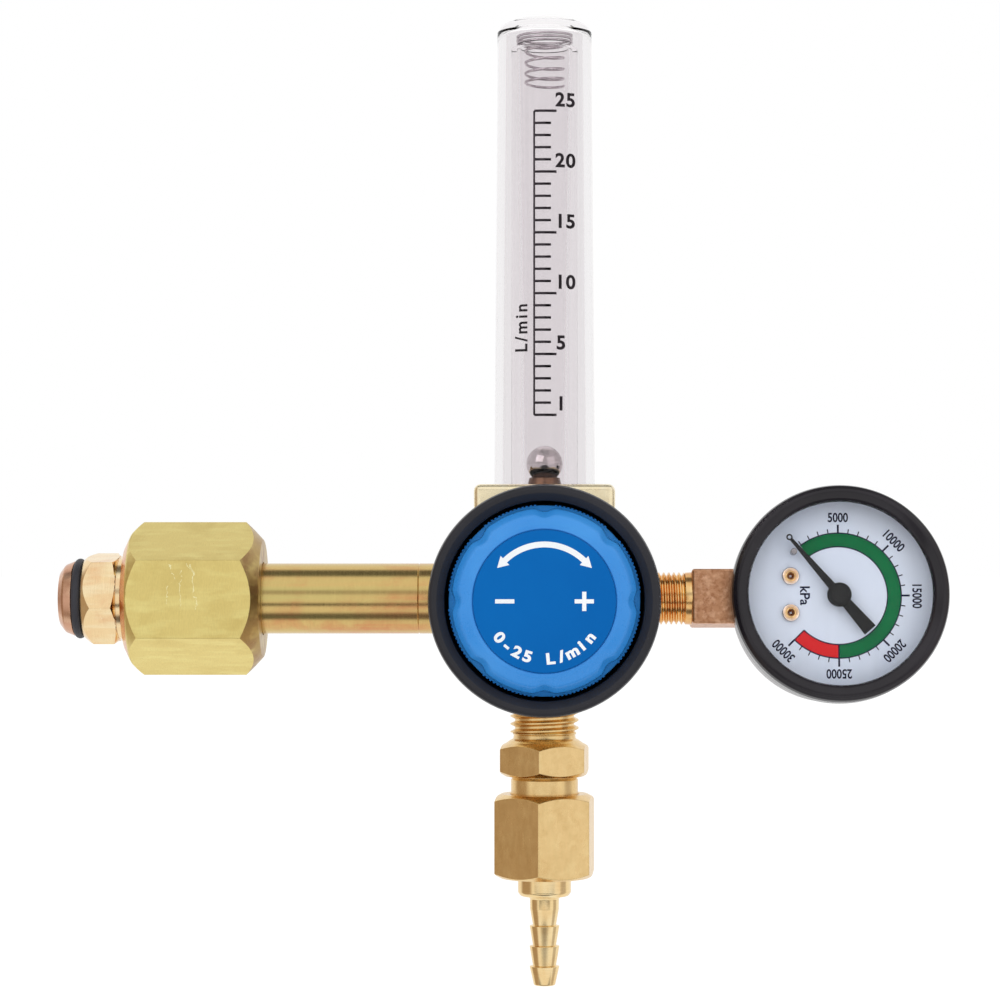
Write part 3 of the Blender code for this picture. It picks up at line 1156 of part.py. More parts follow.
def make_outlet():
    """Make the adapter with its jet, the union nut and the barbed tail it holds."""
    corner = OUTLET_HEX / math.sqrt(3)
    crown = OUTLET_HEX / 2 - FIT
    adapter = lathe("outlet_adapter", [
        (OUTLET_BORE_RADIUS, OUTLET_TOP),
        (OUTLET_THREAD_RADIUS - FIT, OUTLET_TOP),
        (OUTLET_THREAD_RADIUS, OUTLET_TOP - FIT),
        (OUTLET_THREAD_RADIUS, OUTLET_HEX_TOP),
        (crown, OUTLET_HEX_TOP),
        (corner, OUTLET_HEX_TOP - OUTLET_CHAMFER),
        (corner, OUTLET_HEX_BOTTOM + OUTLET_CHAMFER),
        (crown, OUTLET_HEX_BOTTOM),
        (OUTLET_THREAD_RADIUS, OUTLET_HEX_BOTTOM),
        (OUTLET_THREAD_RADIUS, OUTLET_SPIGOT_BOTTOM),
        (OUTLET_BORE_RADIUS, OUTLET_SPIGOT_BOTTOM),
    ], "Z", TUBE_AT, "outlet_brass")
    tool = hexagon_tool("outlet_adapter_hexagon", OUTLET_HEX, OUTLET_SPIGOT_BOTTOM - OVER, OUTLET_TOP + OVER,
                        "Z", TUBE_AT, OUTLET_HEX_TURN)
    combine(adapter, tool, "INTERSECT")
    jet_top = OUTLET_TOP - FIT
    lathe("outlet_jet", [
        (JET_BORE_RADIUS, jet_top),
        (OUTLET_BORE_RADIUS - FIT, jet_top),
        (OUTLET_BORE_RADIUS - FIT, jet_top - JET_LENGTH),
        (JET_BORE_RADIUS, jet_top - JET_LENGTH),
    ], "Z", TUBE_AT, "steel", SMALL)
    nut_corner = OUTLET_NUT_HEX / math.sqrt(3)
    nut_crown = OUTLET_NUT_HEX / 2 - FIT
    nut = lathe("outlet_nut", [
        (OUTLET_PORT_RADIUS, OUTLET_NUT_TOP),
        (nut_crown, OUTLET_NUT_TOP),
        (nut_corner, OUTLET_NUT_TOP - OUTLET_CHAMFER),
        (nut_corner, OUTLET_NUT_BOTTOM + OUTLET_CHAMFER),
        (nut_crown, OUTLET_NUT_BOTTOM),
        (TAIL_COLLAR_RADIUS + FIT, OUTLET_NUT_BOTTOM),
        (TAIL_COLLAR_RADIUS + FIT, OUTLET_NUT_STEP),
        (OUTLET_PORT_RADIUS, OUTLET_NUT_STEP),
    ], "Z", TUBE_AT, "outlet_brass")
    tool = hexagon_tool("outlet_nut_hexagon", OUTLET_NUT_HEX, OUTLET_NUT_BOTTOM - OVER, OUTLET_NUT_TOP + OVER,
                        "Z", TUBE_AT, OUTLET_NUT_TURN)
    combine(nut, tool, "INTERSECT")
    barbs = []
    crest = TAIL_NECK_BOTTOM - BARB_START
    for index in range(BARB_COUNT):
        top = crest - BARB_PITCH * index
        barbs += [(BARB_ROOT_RADIUS, top), (TAIL_RADIUS, top - FIT / 2)]
    tip = crest - BARB_PITCH * BARB_COUNT
    lathe("hose_tail", [
        (TAIL_BORE_RADIUS, TAIL_FLANGE_TOP),
        (OUTLET_THREAD_RADIUS - FIT, TAIL_FLANGE_TOP),
        (OUTLET_THREAD_RADIUS, TAIL_FLANGE_TOP - FIT),
        (OUTLET_THREAD_RADIUS, TAIL_FLANGE_BOTTOM),
        (TAIL_COLLAR_RADIUS, TAIL_FLANGE_BOTTOM),
        (TAIL_COLLAR_RADIUS, TAIL_COLLAR_BOTTOM + TAIL_COLLAR_ROUND),
        (TAIL_COLLAR_RADIUS - TAIL_COLLAR_ROUND / 4, TAIL_COLLAR_BOTTOM + TAIL_COLLAR_ROUND / 4),
        (TAIL_COLLAR_RADIUS - TAIL_COLLAR_ROUND, TAIL_COLLAR_BOTTOM),
        (TAIL_RADIUS, TAIL_COLLAR_BOTTOM),
        (TAIL_RADIUS, TAIL_NECK_BOTTOM),
        *barbs,
        (TAIL_TIP_RADIUS, tip),
        (TAIL_BORE_RADIUS, tip),
    ], "Z", TUBE_AT, "outlet_brass", COARSE)


def make_gauge_socket():
    """Forge the gauge's socket: thread, square, neck through the case and the carrier inside."""
    half = SOCKET_SQUARE / 2
    square_to = CASE_LEFT - FIT
    socket = box("gauge_socket", (GAUGE_THREAD_TO, -half, -half), (square_to, half, half), (0, 0, 0),
                 "socket_brass", FIT * 2)
    thread = rod("gauge_socket_thread", GAUGE_THREAD_RADIUS, GAUGE_SOCKET_FROM, GAUGE_THREAD_TO + OVER, "X",
                 (0, 0, 0), "socket_brass", COARSE)
    neck = box(
        "gauge_socket_neck", (square_to - OVER, -SOCKET_NECK / 2, -SOCKET_NECK / 2),
        (GAUGE_X + CARRIER_END - OVER, SOCKET_NECK / 2, SOCKET_NECK / 2), (0, 0, 0), "socket_brass",
    )
    wide = CARRIER_WIDTH / 2
    carrier = box(
        "gauge_socket_carrier", (GAUGE_X - CASE_BORE_RADIUS + OVER, CARRIER_FACE, -wide),
        (GAUGE_X + CARRIER_END, CARRIER_BACK, wide), (0, 0, 0), "socket_brass",
    )
    ledge_wide = CARRIER_LEDGE_WIDTH / 2
    ledge = box(
        "gauge_socket_ledge", (GAUGE_X + CARRIER_END - OVER, MOVEMENT_BACK + FIT, -ledge_wide),
        (GAUGE_X + CARRIER_END + CARRIER_LEDGE, CARRIER_BACK - FIT, ledge_wide), (0, 0, 0), "socket_brass",
    )
    for tool in (thread, neck, carrier, ledge):
        combine(socket, tool, "UNION")
    bore = rod("cut_socket_bore", GAUGE_BORE_RADIUS, GAUGE_SOCKET_FROM - OVER,
               GAUGE_X + CARRIER_END - 2 * OVER, "X", (0, 0, 0), "socket_brass")
    combine(socket, bore)
    for side in (-1, 1):
        hole = rod(
            "cut_socket_tap_%d" % (2 + side), DIAL_SCREW_RADIUS + FIT, CARRIER_FACE - OVER,
            DIAL_FACE + DIAL_SCREW_LENGTH + FIT, "Y",
            (GAUGE_X - DIAL_SCREW_OUT, 0, side * DIAL_SCREW_APART / 2), "socket_brass",
        )
        combine(socket, hole)


def make_gauge_case():
    case = lathe("gauge_case", [
        (0, CASE_BACK),
        (CASE_RADIUS - CASE_ROUND, CASE_BACK),
        (CASE_RADIUS - CASE_ROUND / 4, CASE_BACK - CASE_ROUND / 4),
        (CASE_RADIUS, CASE_BACK - CASE_ROUND),
        (CASE_RADIUS, CASE_FRONT),
        (CASE_BORE_RADIUS, CASE_FRONT),
        (CASE_BORE_RADIUS, CASE_BACK - CASE_ROUND),
        (CASE_BORE_RADIUS - CASE_WALL, CASE_BACK - CASE_WALL),
        (0, CASE_BACK - CASE_WALL),
    ], "Y", GAUGE_AT, "case_grey", FINE)
    half = SOCKET_NECK / 2 + FIT
    slot = box("cut_case_slot", (-CASE_RADIUS - OVER, -half, -half), (-CASE_RADIUS / 2, half, half), GAUGE_AT,
               "case_grey")
    combine(case, slot)
    bezel_back = BEZEL_RADIUS - BEZEL_ROUND / 3
    lathe("gauge_bezel", [
        (BEZEL_APERTURE_RADIUS, BEZEL_LEDGE),
        (BEZEL_APERTURE_RADIUS, BEZEL_FRONT + BEZEL_ROUND),
        (BEZEL_APERTURE_RADIUS + BEZEL_LIP / 2, BEZEL_FRONT + BEZEL_ROUND / 5),
        (BEZEL_APERTURE_RADIUS + BEZEL_LIP, BEZEL_FRONT),
        (BEZEL_RADIUS - BEZEL_ROUND, BEZEL_FRONT + BEZEL_ROUND / 4),
        (BEZEL_RADIUS - BEZEL_ROUND / 4, BEZEL_FRONT + BEZEL_ROUND),
        (BEZEL_RADIUS, BEZEL_FRONT + 2 * BEZEL_ROUND),
        (bezel_back, BEZEL_BACK),
        (BEZEL_BORE_RADIUS, BEZEL_BACK),
        (BEZEL_BORE_RADIUS, BEZEL_LEDGE),
    ], "Y", GAUGE_AT, "black_gloss", FINE)
    rod("gauge_lens", CASE_RADIUS, LENS_FRONT, LENS_BACK, "Y", GAUGE_AT, "clear_plastic", FINE)
    lathe("lens_gasket", [
        (CASE_RADIUS - LENS_GASKET_WIDTH, LENS_GASKET_FRONT),
        (CASE_RADIUS, LENS_GASKET_FRONT),
        (CASE_RADIUS, LENS_GASKET_BACK),
        (CASE_RADIUS - LENS_GASKET_WIDTH, LENS_GASKET_BACK),
    ], "Y", GAUGE_AT, "black_rubber", MEDIUM)


def make_dial():
    """Make the dial plate, its two screws and the pin that the pointer rests on."""
    dial = lathe("dial_plate", [
        (DIAL_HOLE_RADIUS, DIAL_FACE),
        (DIAL_RADIUS, DIAL_FACE),
        (DIAL_RADIUS, DIAL_BACK),
        (DIAL_HOLE_RADIUS, DIAL_BACK),
    ], "Y", GAUGE_AT, "dial_white", FINE)
    for side in (-1, 1):
        at = (GAUGE_X - DIAL_SCREW_OUT, 0, side * DIAL_SCREW_APART / 2)
        hole = rod("cut_dial_hole_%d" % (2 + side), DIAL_SCREW_RADIUS + FIT, DIAL_FACE - OVER,
                   DIAL_BACK + OVER, "Y", at, "dial_white")
        combine(dial, hole)
        head_back = DIAL_FACE - FIT
        lathe("dial_screw_%d" % (1 if side > 0 else 2), [
            (0, head_back - DIAL_SCREW_HEAD / 2),
            (DIAL_SCREW_HEAD_RADIUS * DIAL_SCREW_CUP[0], head_back - DIAL_SCREW_HEAD / 2),
            (DIAL_SCREW_HEAD_RADIUS * DIAL_SCREW_CUP[1], head_back - DIAL_SCREW_HEAD),
            (DIAL_SCREW_HEAD_RADIUS, head_back - DIAL_SCREW_HEAD / 2),
            (DIAL_SCREW_HEAD_RADIUS, head_back),
            (DIAL_SCREW_RADIUS, head_back),
            (DIAL_SCREW_RADIUS, DIAL_FACE + DIAL_SCREW_LENGTH),
            (0, DIAL_FACE + DIAL_SCREW_LENGTH),
        ], "Y", at, "outlet_brass", SMALL)
    reach = STOP_PIN_RADIUS + POINTER_ROOT_WIDTH / 4 + FIT
    turn = math.radians(POINTER_REST) + math.asin(reach / STOP_PIN_OUT)
    at = (GAUGE_X - STOP_PIN_OUT * math.sin(turn), 0, STOP_PIN_OUT * math.cos(turn))
    rod("zero_stop_pin", STOP_PIN_RADIUS, POINTER_FRONT - FIT, DIAL_FACE - FIT, "Y", at, "outlet_brass")


def make_pointer():
    """Make the pointer with its hub, and the pinion shaft that it sits on."""
    outline = [
        (-POINTER_TIP_WIDTH / 2, POINTER_LENGTH),
        (POINTER_TIP_WIDTH / 2, POINTER_LENGTH),
        (POINTER_ROOT_WIDTH / 2, 0),
        (POINTER_TAIL_WIDTH / 2, -POINTER_TAIL),
        (-POINTER_TAIL_WIDTH / 2, -POINTER_TAIL),
        (-POINTER_ROOT_WIDTH / 2, 0),
    ]
    turn = math.radians(POINTER_REST)
    turned = [
        (x * math.cos(turn) - z * math.sin(turn), x * math.sin(turn) + z * math.cos(turn)) for x, z in outline
    ]
    pointer = plate("pointer", turned, POINTER_FRONT, POINTER_BACK, GAUGE_AT, "pointer_black")
    hub = lathe("pointer_hub", [
        (0, POINTER_BACK - POINTER_HUB_HEIGHT),
        (POINTER_HUB_RADIUS - POINTER_HUB_CROWN, POINTER_BACK - POINTER_HUB_HEIGHT),
        (POINTER_HUB_RADIUS, POINTER_BACK - POINTER_HUB_HEIGHT / 2),
        (POINTER_HUB_RADIUS, POINTER_BACK + FIT),
        (ARBOR_RADIUS * 2, POINTER_BACK + POINTER_HEIGHT / 2),
        (ARBOR_RADIUS + FIT, POINTER_BACK + POINTER_HEIGHT / 2),
        (ARBOR_RADIUS + FIT, POINTER_BACK - POINTER_HUB_HEIGHT / 3),
        (0, POINTER_BACK - POINTER_HUB_HEIGHT / 3),
    ], "Y", GAUGE_AT, "pointer_black", COARSE)
    combine(pointer, hub, "UNION")
    bore = rod("cut_pointer_bore", ARBOR_RADIUS + FIT, POINTER_BACK - POINTER_HUB_HEIGHT / 3,
               POINTER_BACK + OVER, "Y", GAUGE_AT, "pointer_black")
    combine(pointer, bore)
    pinion = plate("pinion", gear_outline(PINION_TEETH, 0, 360, 0), SECTOR_FACE - FIT, SECTOR_BACK + FIT,
                   GAUGE_AT, "outlet_brass")
    shaft = rod("pinion_shaft", ARBOR_RADIUS, POINTER_BACK - POINTER_HUB_HEIGHT / 3 + FIT, MOVEMENT_BACK, "Y",
                GAUGE_AT, "outlet_brass")
    combine(pinion, shaft, "UNION")


def gear_outline(teeth, start, end, phase=0.5):
    """Give the toothed outline of a gear, clockwise from the start angle to the end angle."""
    pitch = 360.0 / teeth
    pitch_radius = TOOTH_MODULE * teeth / 2
    root = pitch_radius - TOOTH_ROOT * TOOTH_MODULE
    outer = pitch_radius + TOOTH_TIP * TOOTH_MODULE
    points = []
    count = int(round((end - start) / pitch))
    for index in range(count):
        centre = start + (index + phase) * pitch
        for radius, share in (
            (root, -TOOTH_ROOT_SHARE), (outer, -TOOTH_TIP_SHARE),
            (outer, TOOTH_TIP_SHARE), (root, TOOTH_ROOT_SHARE),
        ):
            angle = math.radians(centre + share * pitch)
            points.append((radius * math.sin(angle), radius * math.cos(angle)))
    return points


def make_movement():
    """Make the sector gear, its link, the Bourdon tube and the two plates that carry the arbors."""
    pitch = 360.0 / SECTOR_TEETH
    first = round(SECTOR_FROM / pitch) * pitch
    last = round(SECTOR_TO / pitch) * pitch
    teeth = gear_outline(SECTOR_TEETH, first, last, 0.5)
    inner = TOOTH_MODULE * SECTOR_TEETH / 2 - SECTOR_RIM
    hub = 3 * ARBOR_RADIUS
    tail = math.hypot(TAIL_PIN_OUT, TAIL_PIN_DROP)
    tail_angle = 180 + math.degrees(math.atan2(TAIL_PIN_OUT, TAIL_PIN_DROP))
    outline = teeth + arc((0, 0), inner, last, last - 10, 2) + arc((0, 0), hub, 60, tail_angle - 40, 8)
    outline += arc((-TAIL_PIN_OUT, -TAIL_PIN_DROP), SECTOR_TAIL_ROUND, tail_angle - 90, tail_angle + 90, 8)
    outline += arc((0, 0), hub, tail_angle + 40, 350, 3) + arc((0, 0), inner, first + 8, first, 2)
    sector = plate("sector_gear", outline, SECTOR_FACE, SECTOR_BACK, SECTOR_AT, "outlet_brass")
    arbor = rod("sector_arbor", ARBOR_RADIUS, MOVEMENT_FRONT + MOVEMENT_PLATE / 3,
                MOVEMENT_BACK - MOVEMENT_PLATE / 3, "Y", SECTOR_AT, "outlet_brass")
    pin = rod("sector_tail_pin", TAIL_PIN_RADIUS, SECTOR_FACE + FIT, LINK_BACK + FIT, "Y", TAIL_PIN_AT,
              "outlet_brass")
    combine(sector, arbor, "UNION")
    combine(sector, pin, "UNION")
    half = LINK_WIDTH / 2
    bar = arc((0, 0), half, -90, 90, 8) + arc((0, -LINK_LENGTH), half, 90, 270, 8)
    link = plate("gauge_link", bar, LINK_FACE, LINK_BACK, TAIL_PIN_AT, "case_grey")
    for index, drop in enumerate((0, LINK_LENGTH)):
        at = (TAIL_PIN_AT[0], 0, TAIL_PIN_AT[2] - drop)
        hole = rod("cut_link_%d" % (index + 1), TAIL_PIN_RADIUS + RUN, LINK_FACE - OVER, LINK_BACK + OVER,
                   "Y", at, "case_grey")
        combine(link, hole)
    make_bourdon_tube()
    make_movement_plates()


def make_bourdon_tube():
    """Bend the flattened tube round the case, and give its tip the pin that the link hangs on."""
    turned = BOURDON_TO - BOURDON_FROM
    centres = []
    frames = []
    for index in range(BOURDON_STEPS + 1):
        angle = math.radians(BOURDON_FROM + turned * index / BOURDON_STEPS)
        outward = Vector((math.cos(angle), 0, math.sin(angle)))
        centres.append(outward * BOURDON_RADIUS + Vector((0, BOURDON_FACE + BOURDON_DEPTH / 2, 0)))
        frames.append((outward, AXES["Y"]))
    wall = BOURDON_WALL / 2
    deep = BOURDON_DEPTH / 2
    flat = wall * BOURDON_CORNER[0]
    straight = deep * BOURDON_CORNER[1]
    section = [
        (-wall, -straight), (-flat, -deep), (flat, -deep), (wall, -straight),
        (wall, straight), (flat, deep), (-flat, deep), (-wall, straight),
    ]
    tube = sweep("bourdon_tube", centres, frames, section, GAUGE_AT, "outlet_brass")
    tip_x = TAIL_PIN_AT[0] - GAUGE_X
    tip_z = TAIL_PIN_AT[2] - LINK_LENGTH
    half = LINK_WIDTH / 2
    tip = box("bourdon_tip", (tip_x - half, LINK_BACK + RUN, tip_z - 2 * half),
              (tip_x + half, BOURDON_FACE + BOURDON_DEPTH / 2, tip_z + half), GAUGE_AT, "outlet_brass")
    pin = rod("bourdon_pin", TAIL_PIN_RADIUS, LINK_FACE - FIT / 2, BOURDON_FACE, "Y",
              (TAIL_PIN_AT[0], 0, tip_z), "outlet_brass")
    combine(tube, tip, "UNION")
    combine(tube, pin, "UNION")


def make_movement_plates():
    corners = ((MOVEMENT_LEFT, MOVEMENT_BOTTOM), (MOVEMENT_RIGHT, MOVEMENT_TOP))
    pillars = ((MOVEMENT_RIGHT - 2 * PILLAR_RADIUS, MOVEMENT_TOP - 2 * PILLAR_RADIUS),
               (MOVEMENT_LEFT + 2 * PILLAR_RADIUS, MOVEMENT_TOP - 2 * PILLAR_RADIUS))
    front_back = MOVEMENT_FRONT + MOVEMENT_PLATE
    back_front = MOVEMENT_BACK - MOVEMENT_PLATE
    for name, start, end in (
        ("movement_front_plate", MOVEMENT_FRONT, front_back),
        ("movement_back_plate", back_front, MOVEMENT_BACK),
    ):
        leaf = box(name, (corners[0][0], start, corners[0][1]), (corners[1][0], end, corners[1][1]), GAUGE_AT,
                   "outlet_brass", PILLAR_RADIUS, "Y")
        for label, at in (("pinion", GAUGE_AT), ("sector", SECTOR_AT)):
            hole = rod("cut_%s_%s" % (name, label), ARBOR_RADIUS + RUN, start - OVER, end + OVER, "Y", at,
                       "outlet_brass")
            combine(leaf, hole)
        if name == "movement_back_plate":
            for index, (x, z) in enumerate(pillars):
                pillar = rod("movement_pillar_%d" % (index + 1), PILLAR_RADIUS, front_back + FIT,
                             back_front + MOVEMENT_PLATE / 2, "Y", (GAUGE_X + x, 0, z), "outlet_brass")
                combine(leaf, pillar, "UNION")


def turn_on_thread(pieces):
    """Turn the whole gauge on its thread, to where tightening leaves it: the dial looks slightly up."""
    turn = Matrix.Rotation(math.radians(GAUGE_TURN), 4, "X")
    for obj in pieces:
        obj.matrix_world = turn @ Matrix.Translation(obj.location)


def main():
    for obj in list(bpy.data.objects):
        bpy.data.objects.remove(obj, do_unlink=True)
    make_inlet_nipple()
    make_inlet_nut()
    make_inlet_stem()
    make_body()
    make_valve()
    make_diaphragm()
    make_spring_and_screw()
    make_bonnet()
    make_guard_ring()
    make_knob()
    make_flow_meter()
    make_outlet()
    others = set(bpy.data.objects)
    make_gauge_socket()
    make_gauge_case()
    make_dial()
    make_pointer()
    make_movement()
    turn_on_thread(set(bpy.data.objects) - others)


main()
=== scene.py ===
"""Looks of a gas regulator with a flow meter and a contents gauge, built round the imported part.

Outlines are in millimetres, as (distance from the axis, place along it), with a third number where
a corner is rounded. Colours are written as they are seen, 0 to 255.
"""
import json
import math

import bpy
from mathutils import Matrix, Vector


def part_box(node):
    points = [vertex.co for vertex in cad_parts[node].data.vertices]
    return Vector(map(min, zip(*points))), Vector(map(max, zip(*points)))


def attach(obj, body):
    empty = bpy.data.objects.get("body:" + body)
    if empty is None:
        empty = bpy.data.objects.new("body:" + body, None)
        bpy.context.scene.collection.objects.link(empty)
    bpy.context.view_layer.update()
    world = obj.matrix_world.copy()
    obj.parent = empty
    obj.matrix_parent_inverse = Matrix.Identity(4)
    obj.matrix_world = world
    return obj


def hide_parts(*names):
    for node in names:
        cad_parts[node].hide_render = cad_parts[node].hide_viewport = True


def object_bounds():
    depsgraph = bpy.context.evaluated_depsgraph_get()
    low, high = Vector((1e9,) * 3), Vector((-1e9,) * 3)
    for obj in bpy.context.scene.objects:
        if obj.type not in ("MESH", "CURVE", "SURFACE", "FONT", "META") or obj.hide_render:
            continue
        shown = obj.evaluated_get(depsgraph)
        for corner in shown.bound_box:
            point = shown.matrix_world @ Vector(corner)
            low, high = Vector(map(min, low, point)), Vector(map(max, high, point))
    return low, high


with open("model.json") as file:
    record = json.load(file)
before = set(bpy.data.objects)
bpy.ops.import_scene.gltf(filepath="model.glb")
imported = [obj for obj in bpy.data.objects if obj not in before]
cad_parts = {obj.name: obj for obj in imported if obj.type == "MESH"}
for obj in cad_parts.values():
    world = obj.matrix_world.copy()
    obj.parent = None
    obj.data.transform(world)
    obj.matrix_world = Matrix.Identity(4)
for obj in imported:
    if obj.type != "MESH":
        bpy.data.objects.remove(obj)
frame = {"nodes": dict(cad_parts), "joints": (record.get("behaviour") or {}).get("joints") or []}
cad_low, cad_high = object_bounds()

MM = 0.001
X = Vector((1, 0, 0))
Y = Vector((0, 1, 0))
Z = Vector((0, 0, 1))
JOINTS = {joint["name"]: joint for joint in frame["joints"]}
ORIGIN = Vector((0, 0, 0))
KNOB_AT = Vector(JOINTS["knob_turn"]["pos_m"])
GAUGE_AT = Vector(JOINTS["pointer_turn"]["pos_m"])
GAUGE_AXIS = Vector(JOINTS["pointer_turn"]["axis"]).normalized()
GAUGE_TURN = math.atan2(GAUGE_AXIS.z, GAUGE_AXIS.y)
PRINT_DEPTH = 0.03  # thickness of printed marks, in millimetres


def span(node, axis):
    """Where a node of the part starts and ends along an axis, in millimetres."""
    places = [axis.dot(corner.co) / MM for corner in frame["nodes"][node].data.vertices]
    return min(places), max(places)


def radius_of(node):
    """Half the width of a round node, across the front view or up it for what lies along X."""
    low, high = span(node, X)
    if node.startswith(("inlet", "nipple")):
        low, high = span(node, Z)
    return (high - low) / 2


def seen(red, green, blue):
    """Give the linear colour of one that is seen as 0 to 255."""
    linear = []
    for value in (red, green, blue):
        share = value / 255
        linear.append(share / 12.92 if share <= 0.04045 else ((share + 0.055) / 1.055) ** 2.4)
    return (*linear, 1.0)


# Modelling


def choose(obj):
    """Leave only this piece selected, and make it the active one."""
    bpy.ops.object.select_all(action="DESELECT")
    obj.select_set(True)
    bpy.context.view_layer.objects.active = obj


def apply_modifier(obj, kind, **settings):
    """Put a modifier on a piece and apply it."""
    choose(obj)
    modifier = obj.modifiers.new(kind.lower(), kind)
    for name, value in settings.items():
        setattr(modifier, name, value)
    bpy.ops.object.modifier_apply(modifier=modifier.name)


def rounded(outline, steps=5):
    """Swap each corner that has a third number for a curve of about that radius."""
    points = []
    for index, corner in enumerate(outline):
        here = Vector(corner[:2])
        if len(corner) < 3:
            points.append(here)
            continue
        before = (Vector(outline[index - 1][:2]) - here).normalized()
        after = (Vector(outline[(index + 1) % len(outline)][:2]) - here).normalized()
        reach = corner[2] / math.tan(before.angle(after) / 2)
        start = here + before * reach
        end = here + after * reach
        for step in range(steps + 1):
            share = step / steps
            points.append(start * (1 - share) ** 2 + here * 2 * share * (1 - share) + end * share ** 2)
    return points


def added(name, add, **settings):
    """Add a primitive with nothing else selected, and name it."""
    bpy.ops.object.select_all(action="DESELECT")
    add(location=(0, 0, 0), **settings)
    obj = bpy.context.object
    obj.name = name
    obj.data.name = name
    return obj


def drawn(name, points):
    """Draw a chain of edges through points, from a plane merged to one corner and extruded on."""
    obj = added(name, bpy.ops.mesh.primitive_plane_add, size=MM)
    bpy.ops.object.mode_set(mode="EDIT")
    bpy.ops.mesh.merge(type="CENTER")
    bpy.ops.transform.translate(value=points[0])
    for here, there in zip(points, points[1:]):
        bpy.ops.mesh.extrude_vertices_move(TRANSFORM_OT_translate={"value": there - here})
    return obj


def tidied():
    """Merge doubles and face every face outwards, then leave edit mode."""
    bpy.ops.mesh.select_all(action="SELECT")
    bpy.ops.mesh.remove_doubles(threshold=0.002 * MM)
    bpy.ops.mesh.select_all(action="SELECT")
    bpy.ops.mesh.normals_make_consistent(inside=False)
    bpy.ops.object.mode_set(mode="OBJECT")


def turned(name, outline, centre, axis, sides=96, ring=False):
    """Turn a piece: draw half its section and spin it round its axis. A ring's section is closed."""
    outward = Z if abs(axis.x) > 0.5 else X
    corners = rounded(outline)
    if ring:
        corners.append(corners[0])
    obj = drawn(name, [centre + outward * (radius * MM) + axis * (along * MM) for radius, along in corners])
    bpy.ops.mesh.select_all(action="SELECT")
    bpy.ops.mesh.remove_doubles(threshold=0.0001 * MM)
    bpy.ops.mesh.select_all(action="SELECT")
    bpy.ops.mesh.spin(steps=sides, angle=2 * math.pi, center=centre, axis=axis, use_auto_merge=True)
    tidied()
    return obj


def stub(name, radius, tip, root, rounding, centre, axis, sides):
    """Turn a short round stub with a rounded edge at its tip."""
    return turned(name, [(0, tip), (radius, tip, rounding), (radius, root), (0, root)], centre, axis, sides)


def milled(obj, across, centre, axis, first, turn=0.0):
    """Cut six flats on a turned piece, the first one facing a direction turned by an angle."""
    choose(obj)
    bpy.ops.object.mode_set(mode="EDIT")
    for side in range(6):
        out = Matrix.Rotation(math.radians(turn + 60 * side), 3, axis) @ first
        bpy.ops.mesh.select_all(action="SELECT")
        bpy.ops.mesh.bisect(
            plane_co=centre + out * (across * MM / 2), plane_no=out, use_fill=True, clear_outer=True,
        )
    tidied()


def softened(obj, width, segments=2):
    """Break the sharp edges of a piece."""
    apply_modifier(
        obj, "BEVEL", width=width * MM, segments=segments, limit_method="ANGLE",
        angle_limit=math.radians(28), use_clamp_overlap=False, loop_slide=True,
    )


def edges_broken(obj, axis, shortest, width):
    """Break the long edges of a milled piece that run along its axis."""
    choose(obj)
    bpy.ops.object.mode_set(mode="EDIT")
    bpy.ops.mesh.select_mode(type="EDGE")
    bpy.ops.mesh.select_all(action="DESELECT")
    bpy.ops.object.mode_set(mode="OBJECT")
    for edge in obj.data.edges:
        start, end = (obj.data.vertices[index].co for index in edge.vertices)
        along = end - start
        edge.select = along.length > shortest * MM and abs(along.normalized().dot(axis)) > 0.999
    bpy.ops.object.mode_set(mode="EDIT")
    bpy.ops.mesh.bevel(offset=width * MM, segments=2)
    bpy.ops.mesh.select_mode(type="VERT")
    tidied()


def joined(obj, *others):
    """Join other pieces into the first one."""
    choose(obj)
    for other in others:
        other.select_set(True)
    bpy.ops.object.join()
    return obj


def placed(obj, matrix):
    """Move a piece, and apply its place."""
    obj.matrix_world = matrix
    choose(obj)
    bpy.ops.object.transform_apply(location=True, rotation=True, scale=True)
    return obj


def copied(obj, name, matrix):
    """Copy a piece with its own mesh, and move the copy."""
    twin = obj.copy()
    twin.data = obj.data.copy()
    twin.name = name
    bpy.context.scene.collection.objects.link(twin)
    return placed(twin, matrix)


def moved_by(across=0.0, along=0.0, up=0.0):
    """The matrix of a move in millimetres."""
    return Matrix.Translation(Vector((across, along, up)) * MM)


def turned_by(angle, axis="Y"):
    """The matrix of a turn in degrees, which runs clockwise about Y, seen from the front."""
    return Matrix.Rotation(math.radians(angle), 4, axis)


def combined(obj, other, operation):
    """Fuse another piece with this one or cut it out of it, and use it up."""
    apply_modifier(obj, "BOOLEAN", object=other, operation=operation, solver="EXACT")
    bpy.data.objects.remove(other)


# A thread's tooth: radius from root (0) to crest (1), and height as a share of the pitch
THREAD_TOOTH = ((0, 0), (0, 0.12), (1, 0.44), (1, 0.62), (0, 0.94), (0, 1))


def threaded(name, root, crest, pitch, low, high):
    """Cut a thread up the Z axis: one tooth swept by Screw, then sawn flat at both ends."""
    obj = drawn(name, [Vector((root + (crest - root) * rise, 0, low + pitch * (share - 1))) * MM
                       for rise, share in THREAD_TOOTH])
    bpy.ops.object.mode_set(mode="OBJECT")
    turns = math.ceil((high - low) / pitch) + 2
    apply_modifier(
        obj, "SCREW", screw_offset=pitch * MM, iterations=turns, steps=64, render_steps=64,
        use_merge_vertices=True, merge_threshold=0.0005 * MM,
    )
    bpy.ops.object.mode_set(mode="EDIT")
    for place, normal in ((low, -Z), (high, Z)):
        bpy.ops.mesh.select_all(action="SELECT")
        bpy.ops.mesh.bisect(plane_co=(0, 0, place * MM), plane_no=normal, use_fill=True, clear_outer=True)
    tidied()
    return obj


